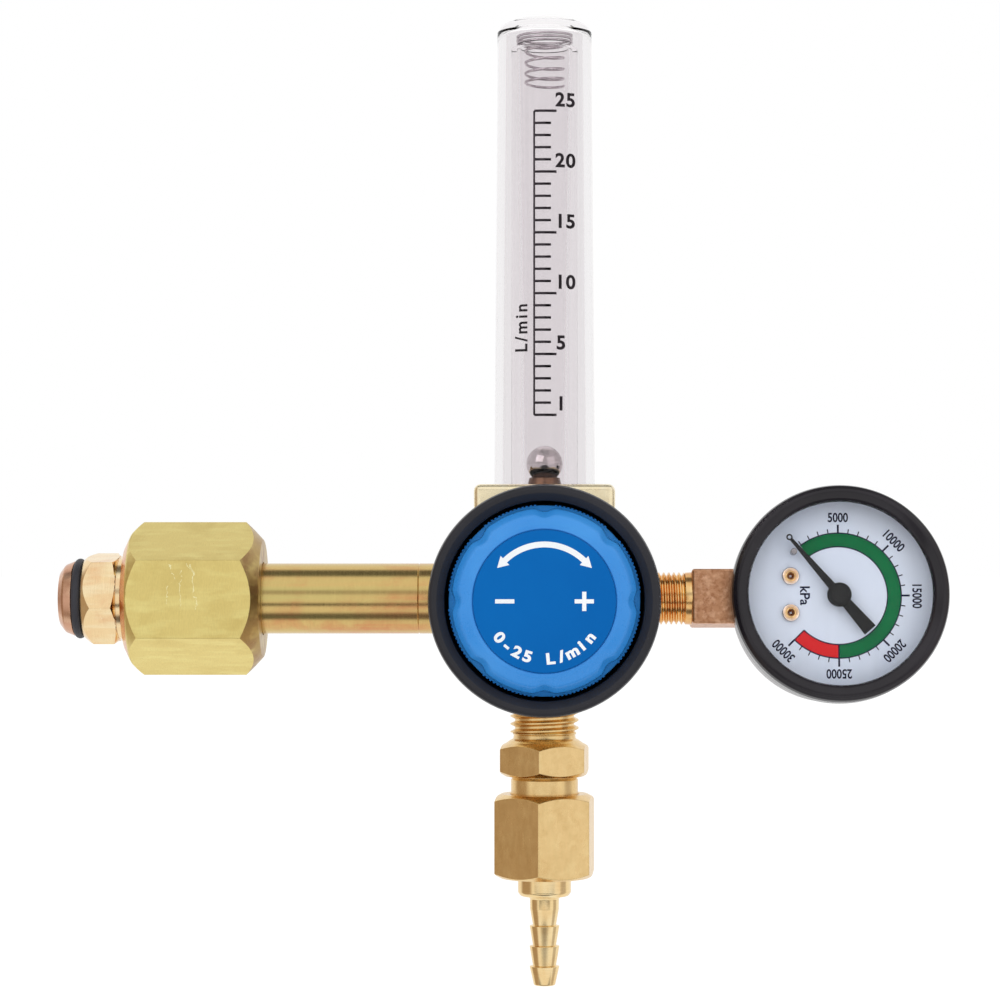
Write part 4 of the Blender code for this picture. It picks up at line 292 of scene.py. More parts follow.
def block(name, low, high):
    """Make a box between two corners, in millimetres, scaled in edit mode."""
    obj = added(name, bpy.ops.mesh.primitive_cube_add, size=1)
    low = Vector(low) * MM
    high = Vector(high) * MM
    bpy.ops.object.mode_set(mode="EDIT")
    bpy.ops.transform.resize(value=high - low)
    bpy.ops.transform.translate(value=(low + high) / 2)
    bpy.ops.object.mode_set(mode="OBJECT")
    return obj


def stamped(name, corners, thickness):
    """Stamp a flat piece in the XZ plane from its corners, given across and up in millimetres."""
    obj = drawn(name, [Vector((across, 0, up)) * MM for across, up in corners])
    bpy.ops.mesh.select_all(action="SELECT")
    bpy.ops.mesh.edge_face_add()
    tidied()
    apply_modifier(obj, "SOLIDIFY", thickness=thickness * MM, offset=0.0)
    return obj


def printed_band(name, inner, outer, start, end):
    """Spin a short edge into a printed band; angles in degrees clockwise of the top, seen from the front."""
    out = turned_by(start) @ Z
    obj = drawn(name, [out * inner * MM, out * outer * MM])
    bpy.ops.mesh.select_all(action="SELECT")
    steps = max(2, int(abs(end - start) / 2))
    bpy.ops.mesh.spin(steps=steps, angle=math.radians(end - start), center=(0, 0, 0), axis=-Y)
    tidied()
    apply_modifier(obj, "SOLIDIFY", thickness=PRINT_DEPTH * MM, offset=0.0)
    return obj


CAPITAL_SHARE = 0.72  # height of a capital letter, as a share of the font's size


def lettered(name, words, height, bold, spacing=1.0):
    """Set words flat in the XZ plane, centred on the origin, as a thin mesh."""
    obj = added(name, bpy.ops.object.text_add)
    obj.data.body = words
    obj.data.align_x = "CENTER"
    obj.data.align_y = "CENTER"
    obj.data.size = height * MM / CAPITAL_SHARE
    obj.data.offset = bold * MM
    obj.data.space_character = spacing
    obj.data.extrude = PRINT_DEPTH * MM / 2
    obj.data.resolution_u = 5
    bpy.ops.object.convert(target="MESH")
    return placed(bpy.context.object, turned_by(90, "X"))


def finished(obj, material, body, replaced, flats=False, angle=30.0):
    """Shade a piece, give it its finish, and let it ride in place of the part's own nodes."""
    choose(obj)
    bpy.ops.object.shade_smooth_by_angle(angle=math.radians(angle))
    if flats:
        apply_modifier(obj, "WEIGHTED_NORMAL", keep_sharp=True, weight=80)
    obj.data.materials.clear()
    obj.data.materials.append(material)
    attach(obj, body)
    if replaced:
        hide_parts(*replaced)


def zoned(obj, material, chosen):
    """Give some of a piece's faces a second finish."""
    obj.data.materials.append(material)
    for face in obj.data.polygons:
        if chosen(face):
            face.material_index = len(obj.data.materials) - 1


# Finishes


def put(tree, kind, inputs=None, **settings):
    """Add a node, with its settings, and a number or a link on each input named."""
    made = tree.nodes.new(kind)
    for name, value in settings.items():
        setattr(made, name, value)
    for name, value in (inputs or {}).items():
        if isinstance(value, bpy.types.NodeSocket):
            tree.links.new(value, made.inputs[name])
        else:
            made.inputs[name].default_value = value
    return made


def group(name, sockets_in, sockets_out):
    """Start a node group with its sockets, each label with its kind."""
    tree = bpy.data.node_groups.new(name, "ShaderNodeTree")
    for way, sockets in (("INPUT", sockets_in), ("OUTPUT", sockets_out)):
        for label, kind in sockets.items():
            tree.interface.new_socket(label, in_out=way, socket_type="NodeSocket" + kind)
    return tree, tree.nodes.new("NodeGroupInput").outputs, tree.nodes.new("NodeGroupOutput").inputs


def worked_out(tree, operation, first, second=0.0):
    """Work out one value from two."""
    return put(tree, "ShaderNodeMath", {0: first, 1: second}, operation=operation).outputs[0]


def plus(tree, first, second):
    """Add two values."""
    return worked_out(tree, "ADD", first, second)


def minus(tree, first, second):
    """Take the second value from the first."""
    return worked_out(tree, "SUBTRACT", first, second)


def times(tree, first, second):
    """Multiply two values."""
    return worked_out(tree, "MULTIPLY", first, second)


def mixed(tree, factor, first, second, blend="MIX"):
    """Blend two colours by a value."""
    return put(tree, "ShaderNodeMix", {0: factor, 6: first, 7: second}, data_type="RGBA",
               blend_type=blend).outputs[2]


def object_place(tree):
    """The place on the piece, in metres."""
    return put(tree, "ShaderNodeTexCoord").outputs["Object"]


def stretched(tree, place, amount):
    """Stretch a place along X, Y and Z, so that a noise on it runs in lines."""
    return put(tree, "ShaderNodeVectorMath", {0: place, 1: amount}, operation="MULTIPLY").outputs[0]


def noise(tree, vector, scale, detail=3.0, roughness=0.55, distortion=0.0):
    """Give the value of a noise at a scale, in waves per metre."""
    return put(tree, "ShaderNodeTexNoise", {
        "Vector": vector, "Scale": scale, "Detail": detail, "Roughness": roughness, "Distortion": distortion,
    }).outputs["Fac"]


def ramped(tree, value, low, high):
    """Stretch a value so that low becomes 0 and high becomes 1."""
    return put(tree, "ShaderNodeMapRange", {
        "Value": value, "From Min": low, "From Max": high,
    }, clamp=True).outputs["Result"]


def roughened(tree, given, first, second, share):
    """Turn a blend of two noises into a roughness between the group's low and high ones."""
    blend = plus(tree, times(tree, first, share), times(tree, second, 1 - share))
    return put(tree, "ShaderNodeMapRange", {
        "Value": blend, "From Min": 0.3, "From Max": 0.7,
        "To Min": given["Low roughness"], "To Max": given["High roughness"],
    }).outputs["Result"]


def bumped(tree, shader, height, strength, depth):
    """Give a shader a bump of a depth in millimetres."""
    bump = put(tree, "ShaderNodeBump", {"Strength": strength, "Distance": depth * MM, "Height": height})
    tree.links.new(bump.outputs["Normal"], shader.inputs["Normal"])


COLOUR_ROUGHNESS_HEIGHT = {"Colour": "Color", "Roughness": "Float", "Height": "Float"}
SPECK_SCALE = 2600.0  # waves per metre
MARK_SHADE = (0.86, 0.85, 0.82, 1)


def make_worked_metal():
    """Group: tool marks, tarnish in patches, long streaks and small specks on a metal."""
    tree, given, out = group("worked_metal", {
        "Colour": "Color", "Tarnish": "Color", "Shine": "Color", "Marks": "Vector", "Streaks": "Vector",
        "Patches": "Float", "Low roughness": "Float", "High roughness": "Float",
    }, COLOUR_ROUGHNESS_HEIGHT)
    place = object_place(tree)
    marks = noise(tree, stretched(tree, place, given["Marks"]), 1.0, 4.0, 0.65)
    streaks = noise(tree, stretched(tree, place, given["Streaks"]), 1.0, 2.0)
    patches = noise(tree, place, given["Patches"], 5.0, 0.6, 0.4)
    specks = noise(tree, place, SPECK_SCALE, 1.0, 0.4)
    tarnished = mixed(tree, ramped(tree, patches, 0.46, 0.72), given["Colour"], given["Tarnish"])
    streaked = mixed(tree, ramped(tree, streaks, 0.48, 0.74), tarnished, given["Shine"])
    marked = mixed(tree, 1.0, streaked, MARK_SHADE, "MULTIPLY")
    worn = mixed(tree, ramped(tree, marks, 0.25, 0.75), marked, streaked)
    bright = mixed(tree, ramped(tree, specks, 0.76, 0.80), worn, given["Shine"])
    tree.links.new(bright, out["Colour"])
    tree.links.new(roughened(tree, given, marks, patches, 0.6), out["Roughness"])
    grit = times(tree, ramped(tree, specks, 0.70, 0.80), 0.6)
    tree.links.new(plus(tree, marks, grit), out["Height"])
    return tree


# Scratches: how far they wander and half their width, in metres, how bright they are, how deep they are
# beside the tool marks, and the values that each is given
SCRATCH_WANDER = 0.0035
SCRATCH_HALF = 0.00009
SCRATCH_SHINE = 0.8
SCRATCH_DEPTH = 1.2
SCRATCH_VALUES = ("Place", "Low", "High", "Lean")


def make_scratch():
    """Group: one thin scratch that wanders up Z, on the side that faces the front, as a mask."""
    tree, given, out = group("scratch", dict.fromkeys(SCRATCH_VALUES, "Float"), {"Mask": "Float"})
    place = object_place(tree)
    parts = put(tree, "ShaderNodeSeparateXYZ", {0: place}).outputs
    wander = times(tree, minus(tree, noise(tree, place, 420.0), 0.5), SCRATCH_WANDER)
    line = plus(tree, given["Place"], times(tree, parts["Z"], given["Lean"]))
    off = worked_out(tree, "ABSOLUTE", minus(tree, parts["X"], plus(tree, line, wander)))
    mask = worked_out(tree, "LESS_THAN", off, SCRATCH_HALF)
    for part in (
        worked_out(tree, "GREATER_THAN", parts["Z"], given["Low"]),
        worked_out(tree, "LESS_THAN", parts["Z"], given["High"]),
        worked_out(tree, "LESS_THAN", parts["Y"], 0.0),
        worked_out(tree, "GREATER_THAN", noise(tree, place, 1300.0, 1.0), 0.42),
    ):
        mask = times(tree, mask, part)
    tree.links.new(mask, out["Mask"])
    return tree


def make_moulded():
    """Group: the fine texture and faint sheen changes of a moulded plastic or rubber."""
    tree, given, out = group("moulded", {
        "Colour": "Color", "Worn": "Color", "Grain": "Float",
        "Low roughness": "Float", "High roughness": "Float",
    }, COLOUR_ROUGHNESS_HEIGHT)
    place = object_place(tree)
    broad = noise(tree, place, 45.0, 3.0, 0.5, 0.3)
    grain = noise(tree, place, given["Grain"], 3.0, 0.6)
    colour = mixed(tree, ramped(tree, broad, 0.40, 0.78), given["Colour"], given["Worn"])
    tree.links.new(mixed(tree, times(tree, grain, 0.12), colour, given["Worn"]), out["Colour"])
    tree.links.new(roughened(tree, given, broad, grain, 0.5), out["Roughness"])
    tree.links.new(grain, out["Height"])
    return tree


WORKED_METAL = make_worked_metal()
SCRATCH = make_scratch()
MOULDED = make_moulded()


def material(name, **sockets):
    """Start a Principled material with constant values on the shader's own sockets."""
    made = bpy.data.materials.new(name)
    made.use_nodes = True
    shader = made.node_tree.nodes["Principled BSDF"]
    for label, value in sockets.items():
        shader.inputs[label.replace("_", " ")].default_value = value
    return made, made.node_tree, shader


def metal(name, colour, tarnish, shine, marks, streaks, patches, rough, depth, scratches=()):
    """A worked metal: colours as seen, marks and streaks in waves per metre along X, Y and Z."""
    made, tree, shader = material(name, Metallic=1.0)
    worked = put(tree, "ShaderNodeGroup", {
        "Colour": seen(*colour), "Tarnish": seen(*tarnish), "Shine": seen(*shine), "Marks": marks,
        "Streaks": streaks, "Patches": patches, "Low roughness": rough[0], "High roughness": rough[1],
    }, node_tree=WORKED_METAL)
    base = worked.outputs["Colour"]
    height = worked.outputs["Height"]
    for scratch in scratches:
        values = dict(zip(SCRATCH_VALUES, scratch))
        mask = put(tree, "ShaderNodeGroup", values, node_tree=SCRATCH).outputs["Mask"]
        base = mixed(tree, times(tree, mask, SCRATCH_SHINE), base, seen(255, 248, 196))
        height = minus(tree, height, times(tree, mask, SCRATCH_DEPTH))
    tree.links.new(base, shader.inputs["Base Color"])
    tree.links.new(worked.outputs["Roughness"], shader.inputs["Roughness"])
    bumped(tree, shader, height, 0.6, depth)
    return made


def moulding(name, colour, worn, grain, rough, depth, specular=0.5, **sockets):
    """A moulded plastic, rubber or paint: colours as seen."""
    made, tree, shader = material(name, Specular_IOR_Level=specular, **sockets)
    shell = put(tree, "ShaderNodeGroup", {
        "Colour": seen(*colour), "Worn": seen(*worn), "Grain": grain,
        "Low roughness": rough[0], "High roughness": rough[1],
    }, node_tree=MOULDED).outputs
    tree.links.new(shell["Colour"], shader.inputs["Base Color"])
    tree.links.new(shell["Roughness"], shader.inputs["Roughness"])
    bumped(tree, shader, shell["Height"], 0.5, depth)
    return made


def clear(name, colour, rough, ior):
    """A clear plastic with faint moulding streaks up its length."""
    made, tree, shader = material(name, Transmission_Weight=1.0, IOR=ior)
    streaks = noise(tree, stretched(tree, object_place(tree), (1.0, 1.0, 0.02)), 500.0, 2.0)
    paler = [value + 3 for value in colour]
    tree.links.new(mixed(tree, ramped(tree, streaks, 0.3, 0.7), seen(*colour), seen(*paler)),
                   shader.inputs["Base Color"])
    roughness = put(tree, "ShaderNodeMapRange", {"Value": streaks, "To Min": rough[0], "To Max": rough[1]})
    tree.links.new(roughness.outputs["Result"], shader.inputs["Roughness"])
    bumped(tree, shader, streaks, 0.15, 0.02)
    return made


# Tool marks of turned and flat pieces, in waves per metre along X, Y and Z
ROUND_X = (5200, 260, 260)
ROUND_Z = (260, 260, 5200)
FLAT = (700, 700, 700)

# Scratches on the inlet nut, in metres: place along the nut, lowest and highest point, and lean
NUT_SCRATCHES = (
    (0.0322, -0.0022, 0.0076, 0.05), (0.0362, -0.0026, 0.0088, -0.12), (0.0375, 0.0052, 0.0090, -0.35),
    (0.0335, 0.0050, 0.0088, -0.45), (0.0290, -0.0012, 0.0034, 0.20),
)
NUT_BRASS = metal("nut_brass", (234, 213, 136), (226, 203, 126), (242, 225, 148), (3800, 900, 900),
                  (120, 500, 500), 90.0, (0.26, 0.40), 0.008, NUT_SCRATCHES)
# The nut's rear crown and end face, the faces that turn back along X towards the stem, get this darker, browner
# brass
NUT_REAR_CROWN = metal("nut_rear_crown", (186, 158, 106), (166, 128, 88), (214, 192, 128), (3800, 900, 900),
                      (60, 300, 300), 160.0, (0.28, 0.42), 0.010)
NUT_RING = metal("nut_ring", (236, 178, 140), (206, 140, 112), (246, 206, 150), ROUND_X,
                 (300, 300, 300), 160.0, (0.18, 0.28), 0.004)
STEM_BRASS = metal("stem_brass", (218, 188, 122), (214, 152, 102), (210, 192, 124), ROUND_X,
                   (9, 420, 420), 70.0, (0.15, 0.25), 0.003)
NOSE_BRASS = metal("nose_brass", (250, 220, 170), (240, 196, 150), (255, 238, 196), ROUND_X,
                   (60, 300, 300), 150.0, (0.12, 0.22), 0.004)
NOSE_ROSY = metal("nose_rosy", (214, 166, 138), (190, 142, 116), (232, 190, 160), ROUND_X,
                  (60, 300, 300), 150.0, (0.16, 0.26), 0.004)
CAST_BRASS = metal("cast_brass", (254, 240, 204), (246, 226, 184), (254, 246, 222), FLAT,
                   (200, 200, 200), 200.0, (0.22, 0.34), 0.014)
OUTLET_BRASS = metal("outlet_brass", (238, 204, 145), (230, 194, 134), (244, 213, 154), (700, 700, 160),
                     (300, 300, 300), 420.0, (0.20, 0.30), 0.004)
TURNED_BRASS = metal("turned_brass", (248, 218, 162), (240, 202, 144), (254, 232, 184), ROUND_Z,
                     (300, 300, 60), 160.0, (0.08, 0.16), 0.003)
SEAT_BRASS = metal("seat_brass", (108, 80, 64), (90, 64, 50), (140, 106, 84), ROUND_Z,
                   (300, 300, 60), 160.0, (0.14, 0.24), 0.003)
SOCKET_BRASS = metal("socket_brass", (202, 150, 114), (170, 114, 82), (232, 184, 150), (1500, 1500, 1500),
                     (700, 700, 700), 900.0, (0.26, 0.44), 0.050)
THREAD_BRASS = metal("thread_brass", (240, 190, 124), (212, 150, 92), (255, 222, 160), ROUND_X,
                     (300, 200, 200), 200.0, (0.14, 0.26), 0.008)
SCREW_STEEL = metal("screw_steel", (232, 216, 208), (212, 190, 180), (244, 232, 226), FLAT,
                    (300, 300, 300), 300.0, (0.10, 0.20), 0.003)
# Painted shade: the dark brown given to the dial screws' centre holes and the rims round them stands in for the
# shade inside the holes
SCREW_HOLE_SHADE = metal("screw_hole_shade", (150, 104, 66), (120, 80, 50), (180, 136, 92), FLAT,
                   (300, 300, 300), 300.0, (0.20, 0.34), 0.003)
BRIGHT_STEEL = metal("bright_steel", (196, 188, 190), (176, 168, 170), (224, 220, 222), FLAT,
                     (60, 60, 60), 120.0, (0.04, 0.10), 0.001)
SPRING_WIRE = metal("spring_wire", (192, 184, 190), (166, 156, 164), (222, 216, 220), FLAT,
                    (300, 300, 300), 300.0, (0.16, 0.30), 0.004)
CASE_METAL = metal("case_metal", (150, 146, 150), (143, 139, 143), (160, 157, 161), FLAT,
                   (60, 60, 60), 100.0, (0.22, 0.34), 0.006)
BRONZE = metal("sintered_bronze", (170, 140, 96), (140, 108, 70), (196, 168, 120), (4000, 4000, 4000),
               (200, 200, 200), 900.0, (0.5, 0.7), 0.060)
GUARD_BLACK = moulding("guard_black", (37, 37, 42), (46, 46, 52), 1900.0, (0.36, 0.50), 0.012, 0.28)
RUBBER = moulding("black_rubber", (40, 40, 46), (56, 56, 62), 1600.0, (0.42, 0.60), 0.012, 0.35)
KNOB_BLUE = moulding("knob_blue", (48, 138, 218), (66, 152, 228), 900.0, (0.24, 0.36), 0.004, 0.35,
                     Coat_Weight=0.15, Coat_Roughness=0.15)
LABEL_BLUE = moulding("label_blue", (0, 98, 176), (2, 104, 182), 700.0, (0.40, 0.50), 0.003, 0.08)
LABEL_WHITE = moulding("label_white", (248, 250, 252), (238, 242, 246), 700.0, (0.40, 0.50), 0.003, 0.2)
BEZEL_BLACK = moulding("bezel_black", (27, 24, 29), (40, 36, 42), 600.0, (0.16, 0.26), 0.004, 0.35)
DIAL_WHITE = moulding("dial_white", (231, 239, 255), (225, 235, 254), 800.0, (0.40, 0.52), 0.004, 0.2)
DIAL_GREEN = moulding("dial_green", (4, 116, 66), (2, 108, 60), 800.0, (0.40, 0.52), 0.003, 0.1)
DIAL_RED = moulding("dial_red", (232, 38, 42), (224, 30, 36), 800.0, (0.40, 0.52), 0.003, 0.1)
DIAL_NAVY = moulding("dial_navy", (20, 22, 56), (26, 28, 62), 800.0, (0.40, 0.52), 0.003, 0.1)
POINTER_BLACK = moulding("pointer_black", (16, 16, 18), (26, 26, 29), 1200.0, (0.42, 0.56), 0.006, 0.25)
SCALE_INK = moulding("scale_ink", (50, 43, 48), (62, 54, 60), 900.0, (0.20, 0.32), 0.003, 0.2)
SEAL_WHITE = moulding("seal_white", (226, 226, 222), (214, 214, 208), 900.0, (0.40, 0.56), 0.008)
CLEAR_COVER = clear("clear_cover", (240, 238, 239), (0.01, 0.04), 1.18)
CLEAR_TUBE = clear("clear_tube", (246, 244, 245), (0.01, 0.04), 1.14)
CLEAR_LENS = clear("clear_lens", (252, 252, 252), (0.0, 0.015), 1.18)


# Inlet

# In millimetres: widths across flats, bores and radii, and the gap that lets the nut slide
NIPPLE_FLATS = 21.3
NIPPLE_TURN = -19.1  # degrees
NIPPLE_BORE = 2.6
O_RING_WIRE = 1.2
O_RING_STEPS = 24
INLET_NUT_FLATS = 34.0
INLET_NUT_PLAY = 1.5
INLET_NUT_COUNTERBORE = 20.0
STEM_RADIUS = 9.0
STEM_BORE = 2.5
STEM_SOCKET = 6.3


def make_nipple():
    """Nipple: bullet nose, groove for the ring, hexagon and shank."""
    start, end = span("inlet_nipple", X)
    ring_from, ring_to = span("nipple_o_ring", X)
    crown = NIPPLE_FLATS / 2 - 0.4
    corner = NIPPLE_FLATS / math.sqrt(3) + 0.15
    hexagon_from = ring_to + 0.15
    hexagon_to = span("inlet_nut", X)[0] - INLET_NUT_PLAY
    shank_to = span("inlet_stem", X)[0] - 0.3
    nipple = turned("inlet_nipple_turned", [
        (NIPPLE_BORE, start, 0.3), (6.9, start + 0.01, 0.5), (8.7, start + 1.35, 1.5),
        (9.6, ring_from - 0.15, 0.2), (7.6, ring_from - 0.15), (7.6, hexagon_from),
        (crown - 0.3, hexagon_from, 0.3), (corner, hexagon_from + 2.9, 1.6), (corner, hexagon_to - 1.2),
        (crown, hexagon_to - 0.1, 0.2), (10.4, hexagon_to - 0.1), (10.4, hexagon_to + 1.2, 0.3),
        (8.0, hexagon_to + 1.2), (8.0, shank_to), (6.0, shank_to), (6.0, end), (NIPPLE_BORE, end),
    ], ORIGIN, X, ring=True)
    milled(nipple, NIPPLE_FLATS, ORIGIN, X, Y, NIPPLE_TURN)
    softened(nipple, 0.10)
    finished(nipple, NOSE_BRASS, "regulator", ["inlet_nipple"], flats=True)
    zoned(nipple, NOSE_ROSY, lambda face: face.center.x < ring_from * MM)
    middle = (ring_from + ring_to) / 2
    centre = radius_of("nipple_o_ring") - O_RING_WIRE
    section = [(centre + O_RING_WIRE * math.cos(turn), middle + O_RING_WIRE * math.sin(turn))
               for turn in (2 * math.pi * step / O_RING_STEPS for step in range(O_RING_STEPS))]
    ring = turned("nipple_o_ring_moulded", section, ORIGIN, X, ring=True)
    finished(ring, RUBBER, "regulator", ["nipple_o_ring"])


def make_inlet_nut():
    """Inlet nut: a turned blank with rounded crowns, bored, then milled to a hexagon."""
    start, end = span("inlet_nut", X)
    corner = INLET_NUT_FLATS / math.sqrt(3) + 0.8
    bored_to = start + INLET_NUT_COUNTERBORE
    nut = turned("inlet_nut_milled", [
        (11.0, start, 0.4), (13.4, start, 0.4), (16.9, start + 1.7, 3.0), (corner, start + 5.4),
        (corner, end - 5.3), (17.4, end - 2.2, 3.0), (15.0, end, 0.6), (9.35, end, 0.3),
        (9.35, bored_to), (11.0, bored_to), (11.0, start + 1.2),
    ], ORIGIN, X, ring=True)
    milled(nut, INLET_NUT_FLATS, ORIGIN, X, Y)
    edges_broken(nut, X, 10.0, 0.15)
    finished(nut, NUT_BRASS, "inlet_nut", ["inlet_nut"], flats=True)
    # Darker, browner brass on the rear crown and end face, the faces that turn back along X
    zoned(nut, NUT_REAR_CROWN, lambda face: face.center.x > (end - 6) * MM and face.normal.x > 0.2)
    zoned(nut, NUT_RING, lambda face: face.center.x < (start + 1.2) * MM)


def make_stem():
    """Stem: turned bar with a fine groove near the body."""
    start, end = span("inlet_stem", X)
    shoulder = span("body", X)[0] - 0.3
    groove = shoulder - 6.0
    socket_to = start + 15.3
    stem = turned("inlet_stem_turned", [
        (STEM_SOCKET, start), (10.5, start, 0.3), (10.5, start + 5, 0.3), (STEM_RADIUS, start + 5),
        (STEM_RADIUS, groove - 0.2), (STEM_RADIUS - 0.15, groove), (STEM_RADIUS, groove + 0.2),
        (STEM_RADIUS, shoulder, 0.25), (8.0, shoulder), (8.0, end), (STEM_BORE, end),
        (STEM_BORE, socket_to), (STEM_SOCKET, socket_to),
    ], ORIGIN, X, ring=True)
    finished(stem, STEM_BRASS, "regulator", ["inlet_stem"])


# Body, guard and knob

# In millimetres
BLOCK_WIDTH = 35.6
BLOCK_BOTTOM = -18.0
RIM_RADIUS = 22.6
BOSS_RADIUS = 11.5
GAUGE_BOSS_RADIUS = 9.5
FLOW_SOCKET_RADIUS = 13.25
PLUG_FLATS = 17.0


def make_body():
    """Body: forged block with a round rim and three bosses, its edges rounded by the die."""
    low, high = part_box("body")
    rim_front, back = span("body", Y)
    top = high.z / MM
    front = span("guard_ring", Y)[1] + 0.3
    across = BLOCK_WIDTH / 2
    middle = KNOB_AT.x / MM
    body = block("body_forged", (middle - across, front, BLOCK_BOTTOM), (middle + across, back, top))
    apply_modifier(body, "BEVEL", width=1.7 * MM, segments=4)
    for boss in (
        stub("rim", RIM_RADIUS, rim_front, front + 6.0, 0.2, KNOB_AT, Y, 96),
        stub("left_boss", BOSS_RADIUS, low.x / MM, middle - 15.0, 0.6, ORIGIN, X, 64),
        stub("right_boss", GAUGE_BOSS_RADIUS, high.x / MM, middle + 15.0, 0.6, ORIGIN, X, 64),
        stub("bottom_boss", BOSS_RADIUS, low.z / MM, -10.0, 0.6, KNOB_AT, Z, 64),
    ):
        combined(body, boss, "UNION")
    socket = turned("flow_socket", [
        (0, top - 8), (FLOW_SOCKET_RADIUS, top - 8), (FLOW_SOCKET_RADIUS, top + 2), (0, top + 2),
    ], KNOB_AT, Z, 72)
    combined(body, socket, "DIFFERENCE")
    softened(body, 0.35, 3)
    finished(body, CAST_BRASS, "regulator", ["body"], flats=True, angle=40)


def make_back_plug():
    """Plug that closes the valve bore, with a milled head."""
    start, end = span("back_plug", Y)
    back = span("body", Y)[1]
    plug = turned("back_plug_milled", [
        (0, start), (6.7, start), (6.7, back + 0.3), (8.2, back + 0.3, 0.2), (9.95, back + 1.2),
        (9.95, end - 1.0), (8.2, end, 0.2), (0, end),
    ], KNOB_AT, Y)
    milled(plug, PLUG_FLATS, KNOB_AT, Y, X)
    softened(plug, 0.15)
    finished(plug, OUTLET_BRASS, "regulator", ["back_plug"], flats=True)


def make_guard():
    """Guard ring: rounded lip, broad flank with a slight flare, ledge inside."""
    front, back = span("guard_ring", Y)
    outer = radius_of("guard_ring")
    ledge_front = front + 24.9
    ledge_back = ledge_front + 1.6
    guard = turned("guard_ring_moulded", [
        (outer - 3.1, back), (outer - 0.6, back, 0.8), (outer - 0.2, (front + back) / 2),
        (outer, front + 2.6, 3.0), (outer - 0.35, front + 0.5, 0.6), (outer - 1.1, front, 0.5),
        (outer - 2.1, front + 0.15, 0.5), (outer - 3.9, front + 1.9, 0.8), (outer - 4.0, front + 5.5, 1.0),
        (outer - 3.9, ledge_front, 0.5), (outer - 8.1, ledge_front, 0.3), (outer - 8.1, ledge_back),
        (outer - 3.1, ledge_back),
    ], KNOB_AT, Y, 144, ring=True)
    finished(guard, GUARD_BLACK, "regulator", ["guard_ring"])


# Knob, in millimetres: how far behind the front its flange starts, how far the ribs stand out, and how
# deep the scallops are and how far in from the rim they reach and fade. KNOB_SCALLOP_SHARE is the part
# of the way from one scallop to the next that each takes
KNOB_SIDES = 288
KNOB_FLANGE = 5.6
KNOB_RIB = 0.25
KNOB_SCALLOPS = 8
KNOB_SCALLOP_DEPTH = 0.9
KNOB_SCALLOP_SHARE = 0.36
KNOB_SCALLOP_REACH = 4.2
KNOB_SCALLOP_FADE = 2.2


def make_knob():
    """Knob: rounded crown, skirt with eight finger scallops, and fine ribs between them."""
    front, back = span("knob", Y)
    outer = radius_of("knob")
    floor = span("knob_label", Y)[1] + 0.3
    recess = radius_of("knob_label") + 0.3
    flange = front + KNOB_FLANGE
    knob = turned("knob_moulded", [
        (0, floor), (recess, floor), (recess, front + 0.25, 0.1), (recess + 0.3, front + 0.03, 0.2),
        (recess + 1.2, front + 0.12, 0.5), (outer - 2.6, front + 0.8, 2.0), (outer - 1.0, front + 2.6, 1.2),
        (outer - 0.75, flange - 0.4, 0.3), (outer - 0.25, flange, 0.2), (outer - 0.25, front + 12.5, 0.3),
        (outer - 0.8, front + 13.0), (outer - 0.8, back, 0.3), (outer - 2.6, back, 0.3),
        (outer - 2.6, front + 4.8, 0.4), (6.5, front + 4.8), (6.5, front + 6.6), (2.9, front + 6.6),
        (2.9, floor + 3.0), (0, floor + 3.0),
    ], KNOB_AT, Y, KNOB_SIDES)
    rib(knob, outer)
    scallop(knob, outer, flange - 0.3)
    finished(knob, KNOB_BLUE, "knob", ["knob"], angle=35)


def scallop_at(angle):
    """How deep in a scallop an angle is, from 0 to 1."""
    turn = (angle * KNOB_SCALLOPS / (2 * math.pi) + 0.5) % 1.0
    share = abs(turn - 0.5) / (KNOB_SCALLOP_SHARE / 2)
    return (0.5 + 0.5 * math.cos(math.pi * share)) if share < 1 else 0.0


def rib(knob, outer):
    """Raise every other strip of the skirt between the scallops."""
    choose(knob)
    bpy.ops.object.mode_set(mode="EDIT")
    bpy.ops.mesh.select_mode(type="FACE")
    bpy.ops.mesh.select_all(action="DESELECT")
    bpy.ops.object.mode_set(mode="OBJECT")
    for face in knob.data.polygons:
        out = (face.center - KNOB_AT) / MM
        angle = math.atan2(out.z, out.x)
        strip = int(math.floor(angle * KNOB_SIDES / (2 * math.pi)))
        on_skirt = math.hypot(out.x, out.z) > outer - 0.6 and abs(face.normal.y) < 0.5
        face.select = on_skirt and strip % 2 == 0 and scallop_at(angle) < 0.35
    bpy.ops.object.mode_set(mode="EDIT")
    bpy.ops.mesh.extrude_region_shrink_fatten(TRANSFORM_OT_shrink_fatten={"value": KNOB_RIB * MM})
    bpy.ops.mesh.select_mode(type="VERT")
    tidied()


def scallop(knob, outer, behind):
    """Press the finger scallops into the crown, as far back as a place along Y."""
    for corner in knob.data.vertices:
        out = (corner.co - KNOB_AT) / MM
        radius = math.hypot(out.x, out.z)
        inside = radius - outer + KNOB_SCALLOP_REACH
        if inside < 0 or out.y > behind:
            continue
        depth = KNOB_SCALLOP_DEPTH * scallop_at(math.atan2(out.z, out.x)) * min(1.0, inside / KNOB_SCALLOP_FADE)
        corner.co.x -= out.x / radius * depth * MM
        corner.co.z -= out.z / radius * depth * MM


# Label's marks, in millimetres and degrees
LABEL_ARROW_IN = 12.9
LABEL_ARROW_OUT = 14.3
LABEL_ARROW_HALF = 44.0
LABEL_HEAD_LENGTH = 2.6
LABEL_HEAD_HALF = 1.5
LABEL_SIGN_OUT = 9.5
LABEL_SIGN_HALF = 2.3
LABEL_STROKE_HALF = 0.5
LABEL_RANGE = "0-25 L/min"
LABEL_LETTER = 2.6
LABEL_LETTER_WIDER = Matrix.Diagonal((1.2, 1, 1, 1))
LABEL_LETTER_TURN = -11.4
LABEL_TEXT_RADIUS = 13.9


